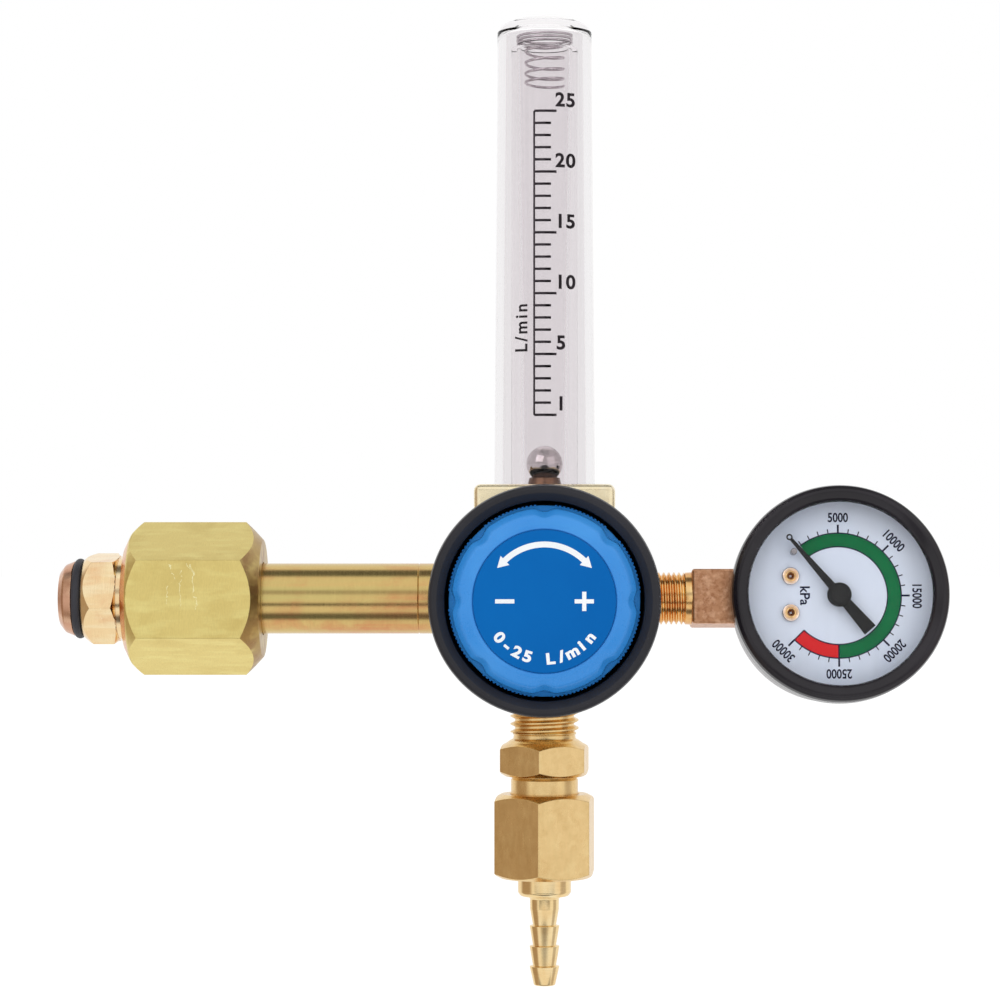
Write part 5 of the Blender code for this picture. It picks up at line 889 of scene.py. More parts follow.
def arrow_head(name, side):
    """A flat arrow head at one end of the label's band."""
    turn = turned_by(side * LABEL_ARROW_HALF)
    middle = (LABEL_ARROW_IN + LABEL_ARROW_OUT) / 2
    corners = [turn @ Vector((across, 0, up)) for across, up in (
        (0, middle - LABEL_HEAD_HALF), (side * LABEL_HEAD_LENGTH, middle), (0, middle + LABEL_HEAD_HALF),
    )]
    return stamped(name, [(corner.x, corner.z) for corner in corners], PRINT_DEPTH)


def make_label():
    """Label disc with generic white marks: a curved arrow, a minus, a plus and the flow range."""
    front, back = span("knob_label", Y)
    face = front + PRINT_DEPTH
    radius = radius_of("knob_label") + 0.25
    label = turned("knob_label_printed", [(0, face), (radius, face, 0.02), (radius, back), (0, back)],
                   KNOB_AT, Y, 144)
    finished(label, LABEL_BLUE, "knob", ["knob_label"])
    thin = PRINT_DEPTH / 2
    minus_sign = block("label_minus", (-LABEL_SIGN_HALF, -thin, -LABEL_STROKE_HALF),
                       (LABEL_SIGN_HALF, thin, LABEL_STROKE_HALF))
    upright = block("label_upright", (-LABEL_STROKE_HALF, -thin, LABEL_STROKE_HALF),
                    (LABEL_STROKE_HALF, thin, LABEL_SIGN_HALF))
    plus_at = moved_by(LABEL_SIGN_OUT)
    pieces = [
        printed_band("label_marks", LABEL_ARROW_IN, LABEL_ARROW_OUT, -LABEL_ARROW_HALF, LABEL_ARROW_HALF),
        arrow_head("label_arrow_left", -1), arrow_head("label_arrow_right", 1),
        copied(minus_sign, "label_plus", plus_at), copied(upright, "label_plus_low", plus_at @ turned_by(180)),
        placed(upright, plus_at), placed(minus_sign, moved_by(-LABEL_SIGN_OUT)),
    ]
    for index, letter in enumerate(LABEL_RANGE):
        if letter == " ":
            continue
        turn = (index - (len(LABEL_RANGE) - 1) / 2) * LABEL_LETTER_TURN
        mark = lettered("label_letter_%d" % index, letter, LABEL_LETTER, 0.16)
        pieces.append(placed(mark, turned_by(turn) @ moved_by(up=-LABEL_TEXT_RADIUS) @ LABEL_LETTER_WIDER))
    marks = joined(*pieces)
    placed(marks, Matrix.Translation(KNOB_AT) @ moved_by(along=front + thin))
    finished(marks, LABEL_WHITE, "knob", ())


# Flow meter

# In millimetres: height of the cover's dome, and the angles up it, in degrees, at which it has a corner
DOME_HEIGHT = 3.9
DOME_ANGLES = (20, 32, 44, 55, 65, 74, 82)


def make_cover():
    """Cover: thick clear tube with a shallow dome, and the metering tube inside it."""
    low, high = span("tube_cover", Z)
    outer = radius_of("tube_cover")
    top = outer - 0.9
    shoulder = high - DOME_HEIGHT
    dome = [(top * math.cos(turn) ** 0.9, shoulder + DOME_HEIGHT * math.sin(turn))
            for turn in (math.radians(angle) for angle in DOME_ANGLES)]
    cover = turned("tube_cover_moulded", [
        (0, high - 2.9), (6.2, high - 3.2), (top - 2.2, high - 4.4, 0.8), (outer - 2.2, low), (outer, low),
        (top, shoulder, 0.4), *dome, (0, high),
    ], KNOB_AT, Z, 128)
    finished(cover, CLEAR_COVER, "regulator", ["tube_cover"])
    low, high = span("metering_tube", Z)
    tube = turned("metering_tube_drawn", [
        (4.95, low), (8.5, low, 0.15), (8.5, high, 0.3), (6.2, high, 0.3),
    ], KNOB_AT, Z, ring=True)
    finished(tube, CLEAR_TUBE, "regulator", ["metering_tube"])


def make_ball_and_seat():
    """Steel ball, made from an icosphere, on its turned seat."""
    low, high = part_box("flow_ball")
    ball = added("flow_ball_ground", bpy.ops.mesh.primitive_ico_sphere_add, subdivisions=5,
                 radius=(high.z - low.z) / 2)
    placed(ball, Matrix.Translation((low + high) / 2))
    finished(ball, BRIGHT_STEEL, "flow_ball", ["flow_ball"], angle=60)
    low, high = span("ball_seat", Z)
    outer = radius_of("ball_seat")
    seat = turned("ball_seat_turned", [
        (2.2, low), (outer, low, 0.1), (outer, low + 3.0, 0.2), (4.6, low + 3.0), (4.6, high - 3.0, 0.5),
        (3.9, high, 0.2), (3.5, high), (2.2, high - 1.3),
    ], KNOB_AT, Z, 72, ring=True)
    finished(seat, SEAT_BRASS, "regulator", ["ball_seat"])


# Bumper spring: thickness of its wire and how much narrower its lower turns are, in millimetres, its
# turns, and how much of a turn it takes to widen
SPRING_WIRE_WIDTH = 0.7
SPRING_NARROWER = 2.1
SPRING_NARROW_TURNS = 4.0
SPRING_WIDE_TURNS = 3.0
SPRING_WIDENING = 0.6
SPRING_STEPS = 36


def make_bumper_spring():
    """Spring that stops the ball: close narrow turns below, wide ones that hold it above the tube."""
    half_wire = SPRING_WIRE_WIDTH / 2
    low, high = span("bumper_spring", Z)
    low += half_wire
    high -= half_wire
    wide = radius_of("bumper_spring") - half_wire
    step_from = span("metering_tube", Z)[1] + 0.3 + half_wire
    turns = SPRING_NARROW_TURNS + SPRING_WIDE_TURNS
    count = int(turns * SPRING_STEPS)
    spring = added("bumper_spring_wound", bpy.ops.curve.primitive_nurbs_path_add)
    spring.data.splines.clear()
    line = spring.data.splines.new("POLY")
    line.points.add(count)
    for index, point in enumerate(line.points):
        passed = turns * index / count
        share = min(max((passed - SPRING_NARROW_TURNS) / SPRING_WIDENING, 0.0), 1.0)
        radius = wide - SPRING_NARROWER * (1 - share * share * (3 - 2 * share))
        if passed > SPRING_NARROW_TURNS:
            height = step_from + (high - step_from) * (passed - SPRING_NARROW_TURNS) / SPRING_WIDE_TURNS
        else:
            height = low + (step_from - low) * (passed / SPRING_NARROW_TURNS) ** 1.25
        turn = 2 * math.pi * passed
        point.co = (radius * MM * math.cos(turn), radius * MM * math.sin(turn), height * MM, 1.0)
    spring.data.bevel_depth = half_wire * MM
    spring.data.bevel_resolution = 3
    spring.data.use_fill_caps = True
    bpy.ops.object.convert(target="MESH")
    spring = bpy.context.object
    placed(spring, Matrix.Translation(KNOB_AT))
    finished(spring, SPRING_WIRE, "regulator", ["bumper_spring"], angle=60)


# Scale on the cover, in millimetres: heights of its ends, tick lengths, and what each longer tick says
SCALE_TOP = 123.3
SCALE_BOTTOM = 46.5
SCALE_LINE_X = -2.6
SCALE_STEPS = 25
SCALE_LONG = {0: "1", 5: "5", 10: "10", 15: "15", 20: "20", 25: "25"}
SCALE_LONG_TO = 3.05
SCALE_SHORT_TO = 1.65
SCALE_LINE_WIDTH = 0.5
SCALE_TICK_WIDTH = 0.64
SCALE_NUMBER = 3.5
SCALE_UNIT_X = -5.7
# Cuts up the ticks, so that they bend round the cover
SCALE_CUTS = 5
SCALE_CUT_STEP = 1.1


def make_scale():
    """Printed scale: a line with ticks and numbers, laid flat and then wrapped onto the cover."""
    front = -radius_of("tube_cover") - 2.0
    back = front + PRINT_DEPTH
    half = SCALE_LINE_WIDTH / 2
    scale = block("cover_scale", (SCALE_LINE_X - half, front, SCALE_BOTTOM),
                  (SCALE_LINE_X + half, back, SCALE_TOP))
    half = SCALE_TICK_WIDTH / 2
    short, long = (block("scale_tick", (SCALE_LINE_X, front, -half), (reach, back, half))
                   for reach in (SCALE_SHORT_TO, SCALE_LONG_TO))
    marks = []
    for step in range(SCALE_STEPS + 1):
        height = SCALE_BOTTOM + (SCALE_TOP - SCALE_BOTTOM) * step / SCALE_STEPS
        marks.append(copied(long if step in SCALE_LONG else short, "scale_tick_%d" % step, moved_by(up=height)))
        if step in SCALE_LONG:
            number = lettered("scale_number_%d" % step, SCALE_LONG[step], SCALE_NUMBER, 0.15, 1.1)
            across = SCALE_LONG_TO + 0.32 * SCALE_NUMBER * len(SCALE_LONG[step])
            marks.append(placed(number, moved_by(across, front, height + 0.78 * SCALE_NUMBER)))
    bpy.data.objects.remove(short)
    bpy.data.objects.remove(long)
    unit = lettered("scale_unit", "L/min", 3.1, 0.10, 1.3)
    placed(unit, moved_by(SCALE_UNIT_X, front, SCALE_BOTTOM + 22) @ turned_by(-90))
    joined(scale, *marks, unit)
    placed(scale, Matrix.Translation((KNOB_AT.x, 0, 0)))
    choose(scale)
    bpy.ops.object.mode_set(mode="EDIT")
    for cut in range(SCALE_CUTS):
        place = KNOB_AT.x + (SCALE_LINE_X + (cut + 0.5) * SCALE_CUT_STEP) * MM
        bpy.ops.mesh.select_all(action="SELECT")
        bpy.ops.mesh.bisect(plane_co=(place, 0, 0), plane_no=X)
    bpy.ops.object.mode_set(mode="OBJECT")
    apply_modifier(scale, "SHRINKWRAP", target=bpy.data.objects["tube_cover_moulded"], wrap_method="PROJECT",
                   use_project_y=True, offset=PRINT_DEPTH * MM)
    finished(scale, SCALE_INK, "regulator", ())


# Outlet

# In millimetres: widths across flats, lengths, the thread's pitch, and how far the nut sits higher than
# its node. The flats are turned by OUTLET_TURN degrees
OUTLET_TURN = 24.0
ADAPTER_FLATS = 21.6
ADAPTER_THREAD = 9.8
ADAPTER_HEXAGON = 8.7
ADAPTER_PITCH = 2.02
ADAPTER_NECK = 8.6
ADAPTER_BORE = 3.0
OUTLET_NUT_FLATS = 24.3
OUTLET_NUT_RISE = 0.9
BARBS = 3
BARB_STEP = 5.2
TAIL_BORE = 1.7


def make_adapter():
    """Adapter: thread, two rings under it, hexagon and turned neck."""
    low, high = span("outlet_adapter", Z)
    top = span("body", Z)[0] - ADAPTER_THREAD
    bottom = top - ADAPTER_HEXAGON
    corner = ADAPTER_FLATS / math.sqrt(3) + 0.15
    crown = ADAPTER_FLATS / 2 - 0.35
    blank = turned("outlet_adapter_milled", [
        (ADAPTER_BORE, low), (ADAPTER_NECK, low, 0.2), (ADAPTER_NECK, bottom - 0.9, 0.3),
        (ADAPTER_NECK - 0.5, bottom, 0.2), (crown - 0.4, bottom, 0.3), (corner, bottom + 1.5),
        (corner, top - 1.7), (crown - 0.9, top, 0.5), (8.9, top + 0.5, 0.4), (8.0, top + 1.0, 0.3),
        (7.9, top + 1.9, 0.3), (8.3, top + 2.3, 0.3), (7.6, top + 2.9, 0.3), (7.6, high), (ADAPTER_BORE, high),
    ], KNOB_AT, Z, ring=True)
    milled(blank, ADAPTER_FLATS, KNOB_AT, Z, -Y, OUTLET_TURN)
    softened(blank, 0.14)
    thread = threaded("outlet_thread", 7.45, 8.75, ADAPTER_PITCH, top + 2.6, high)
    placed(thread, Matrix.Translation(KNOB_AT))
    joined(blank, thread)
    finished(blank, OUTLET_BRASS, "regulator", ["outlet_adapter"], flats=True)


def make_outlet_nut():
    """Outlet nut: hexagon with chamfered ends, bored for the tail's collar."""
    low, high = span("outlet_nut", Z)
    low += OUTLET_NUT_RISE
    corner = OUTLET_NUT_FLATS / math.sqrt(3) + 0.15
    crown = OUTLET_NUT_FLATS / 2 - 0.5
    nut = turned("outlet_nut_milled", [
        (8.9, high, 0.3), (crown - 0.6, high, 0.3), (corner, high - 1.7), (corner, low + 1.5),
        (crown - 0.2, low, 0.3), (7.15, low, 0.3), (7.15, low + 8.4), (8.9, low + 8.4),
    ], KNOB_AT, Z, ring=True)
    milled(nut, OUTLET_NUT_FLATS, KNOB_AT, Z, -Y, OUTLET_TURN)
    softened(nut, 0.18)
    finished(nut, OUTLET_BRASS, "regulator", ["outlet_nut"], flats=True)


def make_hose_tail():
    """Hose tail: collar with a rounded foot, neck, and three barbs."""
    low, high = span("hose_tail", Z)
    collar = span("outlet_nut", Z)[0] - 3.8
    barbs = []
    for index in range(BARBS):
        top = collar - 7.4 - BARB_STEP * index
        barbs += [(3.0, top, 0.12), (3.85, top - 0.2, 0.15)]
    tail = turned("hose_tail_turned", [
        (TAIL_BORE, high), (8.6, high, 0.2), (8.6, high - 1.4, 0.2), (6.85, high - 1.4),
        (6.85, collar + 1.0, 1.0), (6.2, collar, 0.9), (4.2, collar - 0.15, 0.3), (3.75, collar - 0.8, 0.3),
        (3.72, collar - 3.3, 0.5), *barbs, (2.75, low + 0.1, 0.5), (TAIL_BORE, low, 0.2),
    ], KNOB_AT, Z, ring=True)
    finished(tail, TURNED_BRASS, "regulator", ["hose_tail"])


# Gauge

# In millimetres
SOCKET_HALF = 7.0
GAUGE_PITCH = 1.30


def on_gauge(matrix):
    """Place things made round the origin, facing the front, on the gauge's turned axis."""
    return Matrix.Translation(GAUGE_AT) @ Matrix.Rotation(GAUGE_TURN, 4, "X") @ matrix


def make_socket():
    """Gauge socket: forged square with a thread into the body."""
    start = span("gauge_socket", X)[0]
    square_from = span("body", X)[1] + 9.8
    square_to = span("gauge_case", X)[0] + 3.0
    square = block("gauge_socket_forged", (square_from, -SOCKET_HALF, -SOCKET_HALF),
                   (square_to, SOCKET_HALF, SOCKET_HALF))
    apply_modifier(square, "BEVEL", width=0.7 * MM, segments=4)
    land = turned("socket_land", [
        (0, square_from - 1.9), (6.0, square_from - 1.9), (6.65, square_from - 1.5, 0.2),
        (6.75, square_from + 0.4), (0, square_from + 0.4),
    ], ORIGIN, X, 64)
    thread = threaded("gauge_thread_cut", 5.9, 6.7, GAUGE_PITCH, start + 4, square_from - 1.8)
    placed(thread, turned_by(90))
    placed(square, on_gauge(Matrix.Translation(-GAUGE_AT)))
    finished(square, SOCKET_BRASS, "regulator", ["gauge_socket"], flats=True, angle=40)
    joined(thread, land)
    finished(thread, THREAD_BRASS, "regulator", ())


def make_case():
    """Case: drawn steel cup."""
    front, back = span("gauge_case", GAUGE_AXIS)
    radius = radius_of("gauge_case")
    case = turned("gauge_case_drawn", [
        (0, back), (radius - 2.4, back, 1.6), (radius - 0.3, back - 2.2, 1.0), (radius, front),
        (radius - 1, front), (radius - 1, back - 2.0), (radius - 2, back - 1.0), (0, back - 1.0),
    ], GAUGE_AT, GAUGE_AXIS, 144)
    finished(case, CASE_METAL, "regulator", ["gauge_case"])


def make_bezel_and_lens():
    """Bezel: rolled rim, fine bead, and a face that slopes in to the clear lens."""
    front, back = span("gauge_bezel", GAUGE_AXIS)
    outer = radius_of("gauge_bezel")
    inner = outer - 4.4
    bezel = turned("gauge_bezel_moulded", [
        (outer - 0.5, back, 0.2), (outer, back - 1.2), (outer, front + 2.4, 1.0),
        (outer - 0.35, front + 1.0, 0.5), (outer - 0.85, front + 0.55, 0.25), (outer - 1.15, front + 0.25, 0.25),
        (outer - 1.9, front, 0.5), (inner + 0.9, front + 0.75, 0.4), (inner + 0.35, front + 1.15, 0.3),
        (inner, front + 2.2, 0.2), (outer - 1.0, front + 2.2), (outer - 1.0, back, 0.2),
    ], GAUGE_AT, GAUGE_AXIS, 180, ring=True)
    finished(bezel, BEZEL_BLACK, "regulator", ["gauge_bezel"])
    low, high = span("gauge_lens", GAUGE_AXIS)
    radius = radius_of("gauge_lens")
    lens = turned("gauge_lens_moulded", [
        (0, low), (radius - 3.4, low), (radius, low + 0.4, 0.1), (radius, high, 0.1), (0, high),
    ], GAUGE_AT, GAUGE_AXIS, 128)
    finished(lens, CLEAR_LENS, "regulator", ["gauge_lens"])


# Dial, in millimetres and degrees clockwise of the top: the bands, the numbers, and half the width and
# the length of its longer and shorter ticks
DIAL_BAND_IN = 12.4
DIAL_BAND_OUT = 15.85
DIAL_ZERO = -45.0
DIAL_MAJOR = 45.0
DIAL_MINORS = 5
DIAL_NUMBERS = ("5000", "10000", "15000", "20000", "25000", "30000")
DIAL_NUMBER_RADIUS = 19.7
DIAL_NUMBER_HEIGHT = 2.35
DIAL_NUMBER_NARROWER = Matrix.Diagonal((0.80, 1, 1, 1))
DIAL_GREEN_FROM = -37.0
DIAL_GREEN_TO = 180.0
DIAL_RED_TO = 225.0
DIAL_OUTLINE = 0.16
DIAL_LONG_TICK = (0.24, 2.15)
DIAL_SHORT_TICK = (0.14, 1.2)
DIAL_UNIT_X = -8.6
DIAL_HOLE = 1.6


def printed_tick(name, half, inner, outer):
    """A printed tick at the top of the dial, in millimetres from its centre."""
    return block(name, (-half, -PRINT_DEPTH / 2, inner), (half, PRINT_DEPTH / 2, outer))


def make_dial():
    """Dial: plate, coloured bands with navy outlines, ticks and numbers that read from the centre."""
    low, high = span("dial_plate", GAUGE_AXIS)
    radius = radius_of("dial_plate")
    plate = turned("dial_plate_printed", [
        (DIAL_HOLE, low), (radius, low, 0.1), (radius, high), (DIAL_HOLE, high),
    ], GAUGE_AT, GAUGE_AXIS, 128, ring=True)
    finished(plate, DIAL_WHITE, "regulator", ["dial_plate"])
    for name, ink, start, end in (
        ("dial_green_band", DIAL_GREEN, DIAL_GREEN_FROM, DIAL_GREEN_TO),
        ("dial_red_band", DIAL_RED, DIAL_GREEN_TO, DIAL_RED_TO),
    ):
        strip = printed_band(name, DIAL_BAND_IN, DIAL_BAND_OUT, start, end)
        placed(strip, on_gauge(moved_by(along=low - 0.02)))
        finished(strip, ink, "regulator", ())
    pieces = [printed_band(name, middle - DIAL_OUTLINE, middle + DIAL_OUTLINE, DIAL_GREEN_FROM, DIAL_RED_TO)
              for name, middle in (("dial_ink", DIAL_BAND_IN), ("dial_outer_line", DIAL_BAND_OUT))]
    for end, half in ((DIAL_GREEN_TO, 0.2), (DIAL_RED_TO, DIAL_OUTLINE)):
        line = printed_tick("dial_end_line", half, DIAL_BAND_IN, DIAL_BAND_OUT)
        pieces.append(placed(line, turned_by(end)))
    short, long = (printed_tick("dial_tick", half, DIAL_BAND_OUT, DIAL_BAND_OUT + length)
                   for half, length in (DIAL_SHORT_TICK, DIAL_LONG_TICK))
    for step in range(1, len(DIAL_NUMBERS) * DIAL_MINORS + 1):
        pieces.append(copied(short if step % DIAL_MINORS else long, "dial_tick_%d" % step,
                             turned_by(DIAL_ZERO + step * DIAL_MAJOR / DIAL_MINORS)))
    bpy.data.objects.remove(short)
    bpy.data.objects.remove(long)
    for index, number in enumerate(DIAL_NUMBERS):
        digits = lettered("dial_number_%s" % number, number, DIAL_NUMBER_HEIGHT, 0.07)
        pieces.append(placed(digits, turned_by(DIAL_ZERO + (index + 1) * DIAL_MAJOR)
                             @ moved_by(up=DIAL_NUMBER_RADIUS) @ DIAL_NUMBER_NARROWER))
    unit = lettered("dial_unit", "kPa", 2.5, 0.06)
    pieces.append(placed(unit, moved_by(DIAL_UNIT_X) @ turned_by(90)))
    ink = joined(*pieces)
    placed(ink, on_gauge(moved_by(along=low - 0.045)))
    finished(ink, DIAL_NAVY, "regulator", ())


def foot_of(node):
    """Where a small round node's own axis, which runs along the gauge's, is level with the origin."""
    low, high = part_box(node)
    middle = (low + high) / 2
    return middle - GAUGE_AXIS * GAUGE_AXIS.dot(middle)


def off_axis(face, centre):
    """How far a face stands from a line through a point along the gauge's axis, in millimetres."""
    out = face.center - centre
    return (out - GAUGE_AXIS * GAUGE_AXIS.dot(out)).length / MM


def make_dial_fittings():
    """Two cup-headed screws and the zero stop pin."""
    front, back = span("dial_screw_1", GAUGE_AXIS)
    first = foot_of("dial_screw_1")
    screw = turned("dial_screw_1_turned", [
        (0, front + 2.1), (0.66, front + 0.3), (0.8, front + 0.1, 0.1), (1.15, front + 0.1, 0.2),
        (1.5, front + 0.6, 0.15), (1.65, front + 0.6, 0.1), (1.85, front, 0.25), (2.2, front + 0.35, 0.2),
        (2.2, front + 1.2), (1.2, front + 1.2), (1.2, back), (0, back),
    ], first, GAUGE_AXIS, 48)
    second = foot_of("dial_screw_2")
    other = copied(screw, "dial_screw_2_turned", Matrix.Translation(second - first))
    for name, piece, centre in (("dial_screw_1", screw, first), ("dial_screw_2", other, second)):
        finished(piece, SCREW_STEEL, "regulator", [name])
        zoned(piece, TURNED_BRASS, lambda face: off_axis(face, centre) < 1.5)
        # Painted shade: each screw's centre hole and its rim get the dark brown in place of the shade inside the
        # hole
        zoned(piece, SCREW_HOLE_SHADE, lambda face: off_axis(face, centre) < 0.95)
    front, back = span("zero_stop_pin", GAUGE_AXIS)
    pin = turned("zero_stop_pin_turned", [(0, front), (0.8, front, 0.3), (0.8, back), (0, back)],
                 foot_of("zero_stop_pin"), GAUGE_AXIS, 40)
    finished(pin, CASE_METAL, "regulator", ["zero_stop_pin"])


# Pointer: degrees anticlockwise of the top at rest, and sizes in millimetres
POINTER_REST = 40.6
POINTER_LENGTH = 20.0
POINTER_TAIL = 11.8
POINTER_THICKNESS = 0.4


def make_pointer():
    """Pointer: stamped needle with an eye at its tip, a flared tail, and a domed hub."""
    front, back = span("pointer", GAUGE_AXIS)
    blade = front + 1.2
    neck = POINTER_LENGTH - 1.3
    needle = stamped("pointer_stamped", [
        (-0.40, neck), (0.40, neck), (1.15, 0), (1.8, -POINTER_TAIL), (-1.8, -POINTER_TAIL), (-1.15, 0),
    ], POINTER_THICKNESS)
    softened(needle, 0.08)
    eye = added("pointer_eye", bpy.ops.mesh.primitive_torus_add, major_radius=0.62 * MM,
                minor_radius=0.19 * MM, major_segments=32, minor_segments=10)
    placed(eye, moved_by(up=POINTER_LENGTH - 0.8) @ turned_by(90, "X"))
    joined(needle, eye)
    placed(needle, on_gauge(moved_by(along=blade + POINTER_THICKNESS / 2) @ turned_by(-POINTER_REST)))
    hub = turned("pointer_hub", [
        (0, front), (2.0, front + 0.05, 0.4), (3.0, front + 0.55, 0.4), (3.1, blade + 0.5, 0.1),
        (1.2, blade + 0.6), (1.0, back), (0, back),
    ], GAUGE_AT, GAUGE_AXIS, 64)
    joined(needle, hub)
    finished(needle, POINTER_BLACK, "pointer", ["pointer"])


# Nodes of the part that keep their own form, and the finish of each
KEPT = {
    "inlet_filter": BRONZE, "seat_nozzle": BRIGHT_STEEL, "valve_poppet": TURNED_BRASS,
    "poppet_spring": SPRING_WIRE, "diaphragm": RUBBER, "slip_ring": TURNED_BRASS, "diaphragm_plate": CASE_METAL,
    "main_spring": SPRING_WIRE, "spring_nut": TURNED_BRASS, "adjusting_screw": BRIGHT_STEEL,
    "thrust_washer": SEAL_WHITE, "bonnet": CAST_BRASS, "knob_screw": BRIGHT_STEEL, "cover_gasket": RUBBER,
    "outlet_jet": BRIGHT_STEEL, "lens_gasket": RUBBER, "pinion": TURNED_BRASS, "sector_gear": TURNED_BRASS,
    "gauge_link": CASE_METAL, "bourdon_tube": TURNED_BRASS, "movement_front_plate": TURNED_BRASS,
    "movement_back_plate": TURNED_BRASS,
}


def dress_kept_nodes():
    """Give the nodes that keep their form their finish."""
    for name, finish in KEPT.items():
        node = frame["nodes"][name]
        node.data.materials.clear()
        node.data.materials.append(finish)


# Studio

# Camera: how far it stands from the inlet's axis and the height it is level with, in millimetres
CAMERA_DISTANCE = 780.0
CAMERA_LENS = 109.5
CAMERA_Z = 10.0
CAMERA_SHIFT_X = -0.0445
CAMERA_SHIFT_Z = 0.0595

# Floor: how far it lies under the part, in millimetres, its own light and the share of that in what is seen
FLOOR_DROP = 12.0
FLOOR_GLOW = 1.18
FLOOR_GLOW_SHARE = 0.75
FLOOR_SIZE = 40  # metres
WORLD_LIGHT = 0.72

# Grey cards that only the metal mirrors: degrees to the right of the front, degrees up, width and height
# in degrees, and colour. They stand CARD_DISTANCE metres from CARD_CENTRE
CARD_CENTRE = (0.12, 0, 0.0)
CARD_DISTANCE = 1.6
CARD_SOFT = 0.30
CARDS = (
    ("card_left", -88.0, 0.0, (76.0, 110.0), (0.46, 0.36, 0.27)),
    ("card_top", 0.0, 93.0, (110.0, 42.0), (0.16, 0.16, 0.16)),
    ("card_high", 0.0, 21.0, (100.0, 18.0), (0.52, 0.50, 0.50)),
    ("card_low", 0.0, -19.0, (100.0, 13.0), (0.10, 0.10, 0.10)),
    ("card_lower", 0.0, -60.0, (110.0, 34.0), (0.16, 0.16, 0.16)),
    ("card_right", 90.0, 0.0, (44.0, 110.0), (0.60, 0.56, 0.54)),
)

# Lamps: place in metres and power in watts
LAMP_SIZE = 1.0
LAMPS = (
    ("key_left", (-0.45, -0.85, 0.75), 3.6),
    ("fill_right", (0.85, -0.80, 0.45), 1.8),
    ("back_top", (0.15, 0.75, 1.05), 1.6),
)
LAMPS_AIM = Vector((0.112, 0, 0.02))


def seen_directly(tree):
    """1 for what the camera sees, also in a mirror or through glass."""
    path = put(tree, "ShaderNodeLightPath").outputs
    mirrored = worked_out(tree, "MAXIMUM", path["Is Glossy Ray"], path["Is Transmission Ray"])
    return worked_out(tree, "MAXIMUM", path["Is Camera Ray"], mirrored)


def surface_mixed(tree, factor, first, second):
    """Make a material's surface a mix of two shaders."""
    mix = put(tree, "ShaderNodeMixShader", {"Fac": factor})
    tree.links.new(first.outputs[0], mix.inputs[1])
    tree.links.new(second.outputs[0], mix.inputs[2])
    tree.links.new(mix.outputs[0], tree.nodes["Material Output"].inputs["Surface"])


def make_floor():
    """White floor under the object, which keeps a faint shadow."""
    floor = added("floor", bpy.ops.mesh.primitive_plane_add, size=FLOOR_SIZE)
    placed(floor, Matrix.Translation((0.1, 0, cad_low.z - FLOOR_DROP * MM)))
    made, tree, shader = material("floor_white", Roughness=0.9, Specular_IOR_Level=0.0,
                                  Base_Color=(0.97, 0.97, 0.97, 1))
    glow = put(tree, "ShaderNodeEmission", {"Color": (1, 1, 1, 1), "Strength": FLOOR_GLOW})
    surface_mixed(tree, times(tree, seen_directly(tree), FLOOR_GLOW_SHARE), shader, glow)
    floor.data.materials.append(made)
    floor.visible_glossy = False


def make_world():
    """White world, which is seen brighter than it lights."""
    world = bpy.data.worlds.new("studio")
    bpy.context.scene.world = world
    world.use_nodes = True
    tree = world.node_tree
    strength = put(tree, "ShaderNodeMapRange", {
        "Value": seen_directly(tree), "To Min": WORLD_LIGHT, "To Max": 1.0,
    }).outputs["Result"]
    back = tree.nodes["Background"]
    back.inputs["Color"].default_value = (1, 1, 1, 1)
    tree.links.new(strength, back.inputs["Strength"])


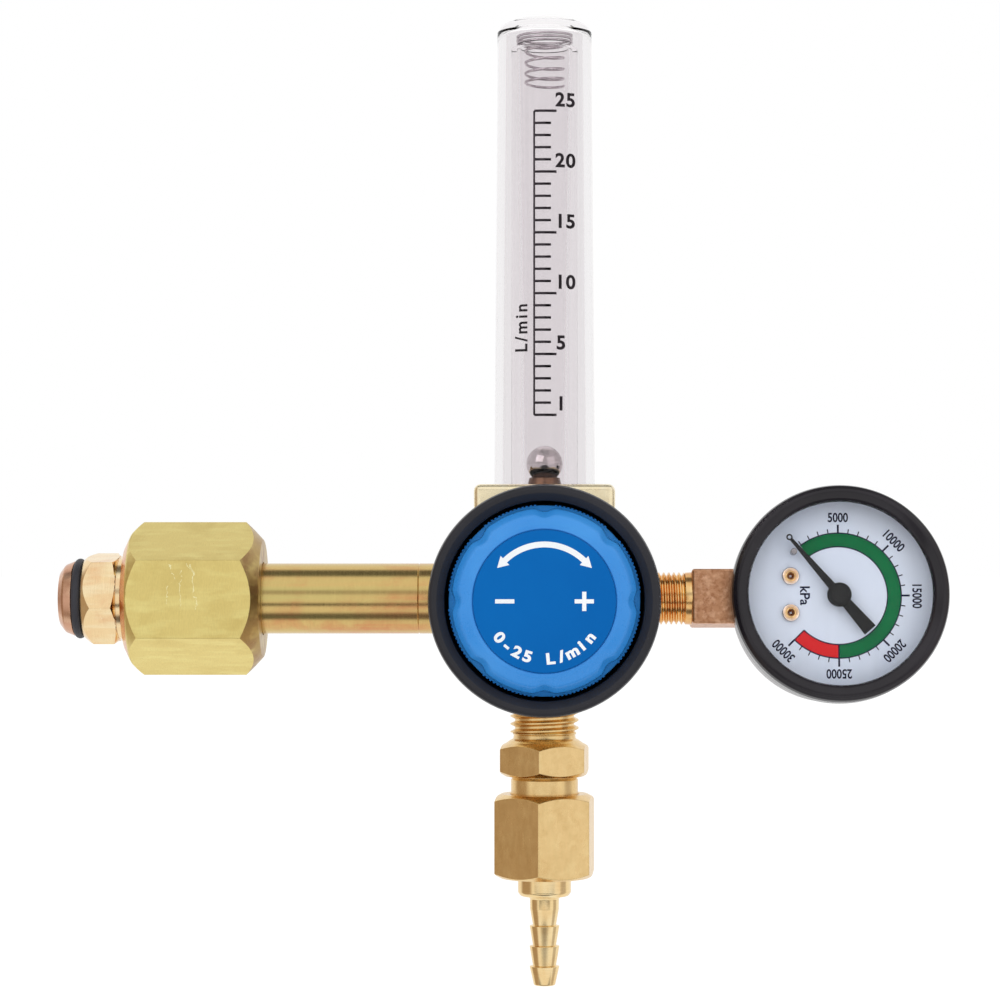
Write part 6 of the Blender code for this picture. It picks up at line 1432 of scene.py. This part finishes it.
def make_card(name, azimuth, height, size, shade):
    """A grey card with soft edges that only mirrors see."""
    width, tall = (2 * CARD_DISTANCE * math.tan(math.radians(angle) / 2) for angle in size)
    card = added(name, bpy.ops.mesh.primitive_plane_add, size=1)
    facing = turned_by(azimuth, "Z") @ turned_by(-height, "X") @ Matrix.Translation((0, -CARD_DISTANCE, 0))
    placed(card, Matrix.Translation(CARD_CENTRE) @ facing @ turned_by(90, "X")
           @ Matrix.Diagonal((width, tall, 1, 1)))
    made, tree, _ = material(name + "_paper")
    corner = put(tree, "ShaderNodeSeparateXYZ", {0: put(tree, "ShaderNodeTexCoord").outputs["UV"]}).outputs
    across, up = (put(tree, "ShaderNodeMapRange", {
        "Value": worked_out(tree, "ABSOLUTE", minus(tree, corner[side], 0.5)),
        "From Min": 0.5, "From Max": 0.5 - CARD_SOFT, "To Min": 0.0, "To Max": 1.0,
    }, interpolation_type="SMOOTHSTEP", clamp=True).outputs["Result"] for side in ("X", "Y"))
    paper = put(tree, "ShaderNodeEmission", {"Color": (*shade, 1), "Strength": 1.0})
    surface_mixed(tree, times(tree, across, up), put(tree, "ShaderNodeBsdfTransparent"), paper)
    card.data.materials.append(made)
    card.visible_camera = False
    card.visible_diffuse = False
    card.visible_transmission = False
    card.visible_shadow = False


def make_lamps():
    """Soft area lamps aimed at the object."""
    for name, at, power in LAMPS:
        lamp = bpy.data.lights.new(name, "AREA")
        lamp.shape = "SQUARE"
        lamp.size = LAMP_SIZE
        lamp.energy = power
        obj = bpy.data.objects.new(name, lamp)
        obj.location = at
        obj.rotation_mode = "QUATERNION"
        obj.rotation_quaternion = (Vector(at) - LAMPS_AIM).to_track_quat("Z", "Y")
        obj.visible_glossy = False
        bpy.context.scene.collection.objects.link(obj)


def make_camera():
    """Camera at the photograph's viewing angle, level and in line with the knob."""
    camera = bpy.data.cameras.new("camera")
    camera.sensor_width = 36
    camera.lens = CAMERA_LENS
    camera.shift_x = CAMERA_SHIFT_X
    camera.shift_y = CAMERA_SHIFT_Z
    camera.clip_start = 0.01
    camera.clip_end = 100
    obj = bpy.data.objects.new("camera", camera)
    obj.location = Vector((KNOB_AT.x, -CAMERA_DISTANCE * MM, CAMERA_Z * MM))
    obj.rotation_euler = (math.pi / 2, 0, 0)
    bpy.context.scene.collection.objects.link(obj)
    bpy.context.scene.camera = obj
    bpy.context.scene.view_settings.view_transform = "Standard"


for make in (
    make_nipple, make_inlet_nut, make_stem, make_body, make_back_plug, make_guard, make_knob, make_label,
    make_cover, make_ball_and_seat, make_bumper_spring, make_scale, make_adapter, make_outlet_nut,
    make_hose_tail, make_socket, make_case, make_bezel_and_lens, make_dial, make_dial_fittings, make_pointer,
    dress_kept_nodes, make_floor, make_world, make_lamps, make_camera,
):
    make()
for card in CARDS:
    make_card(*card)
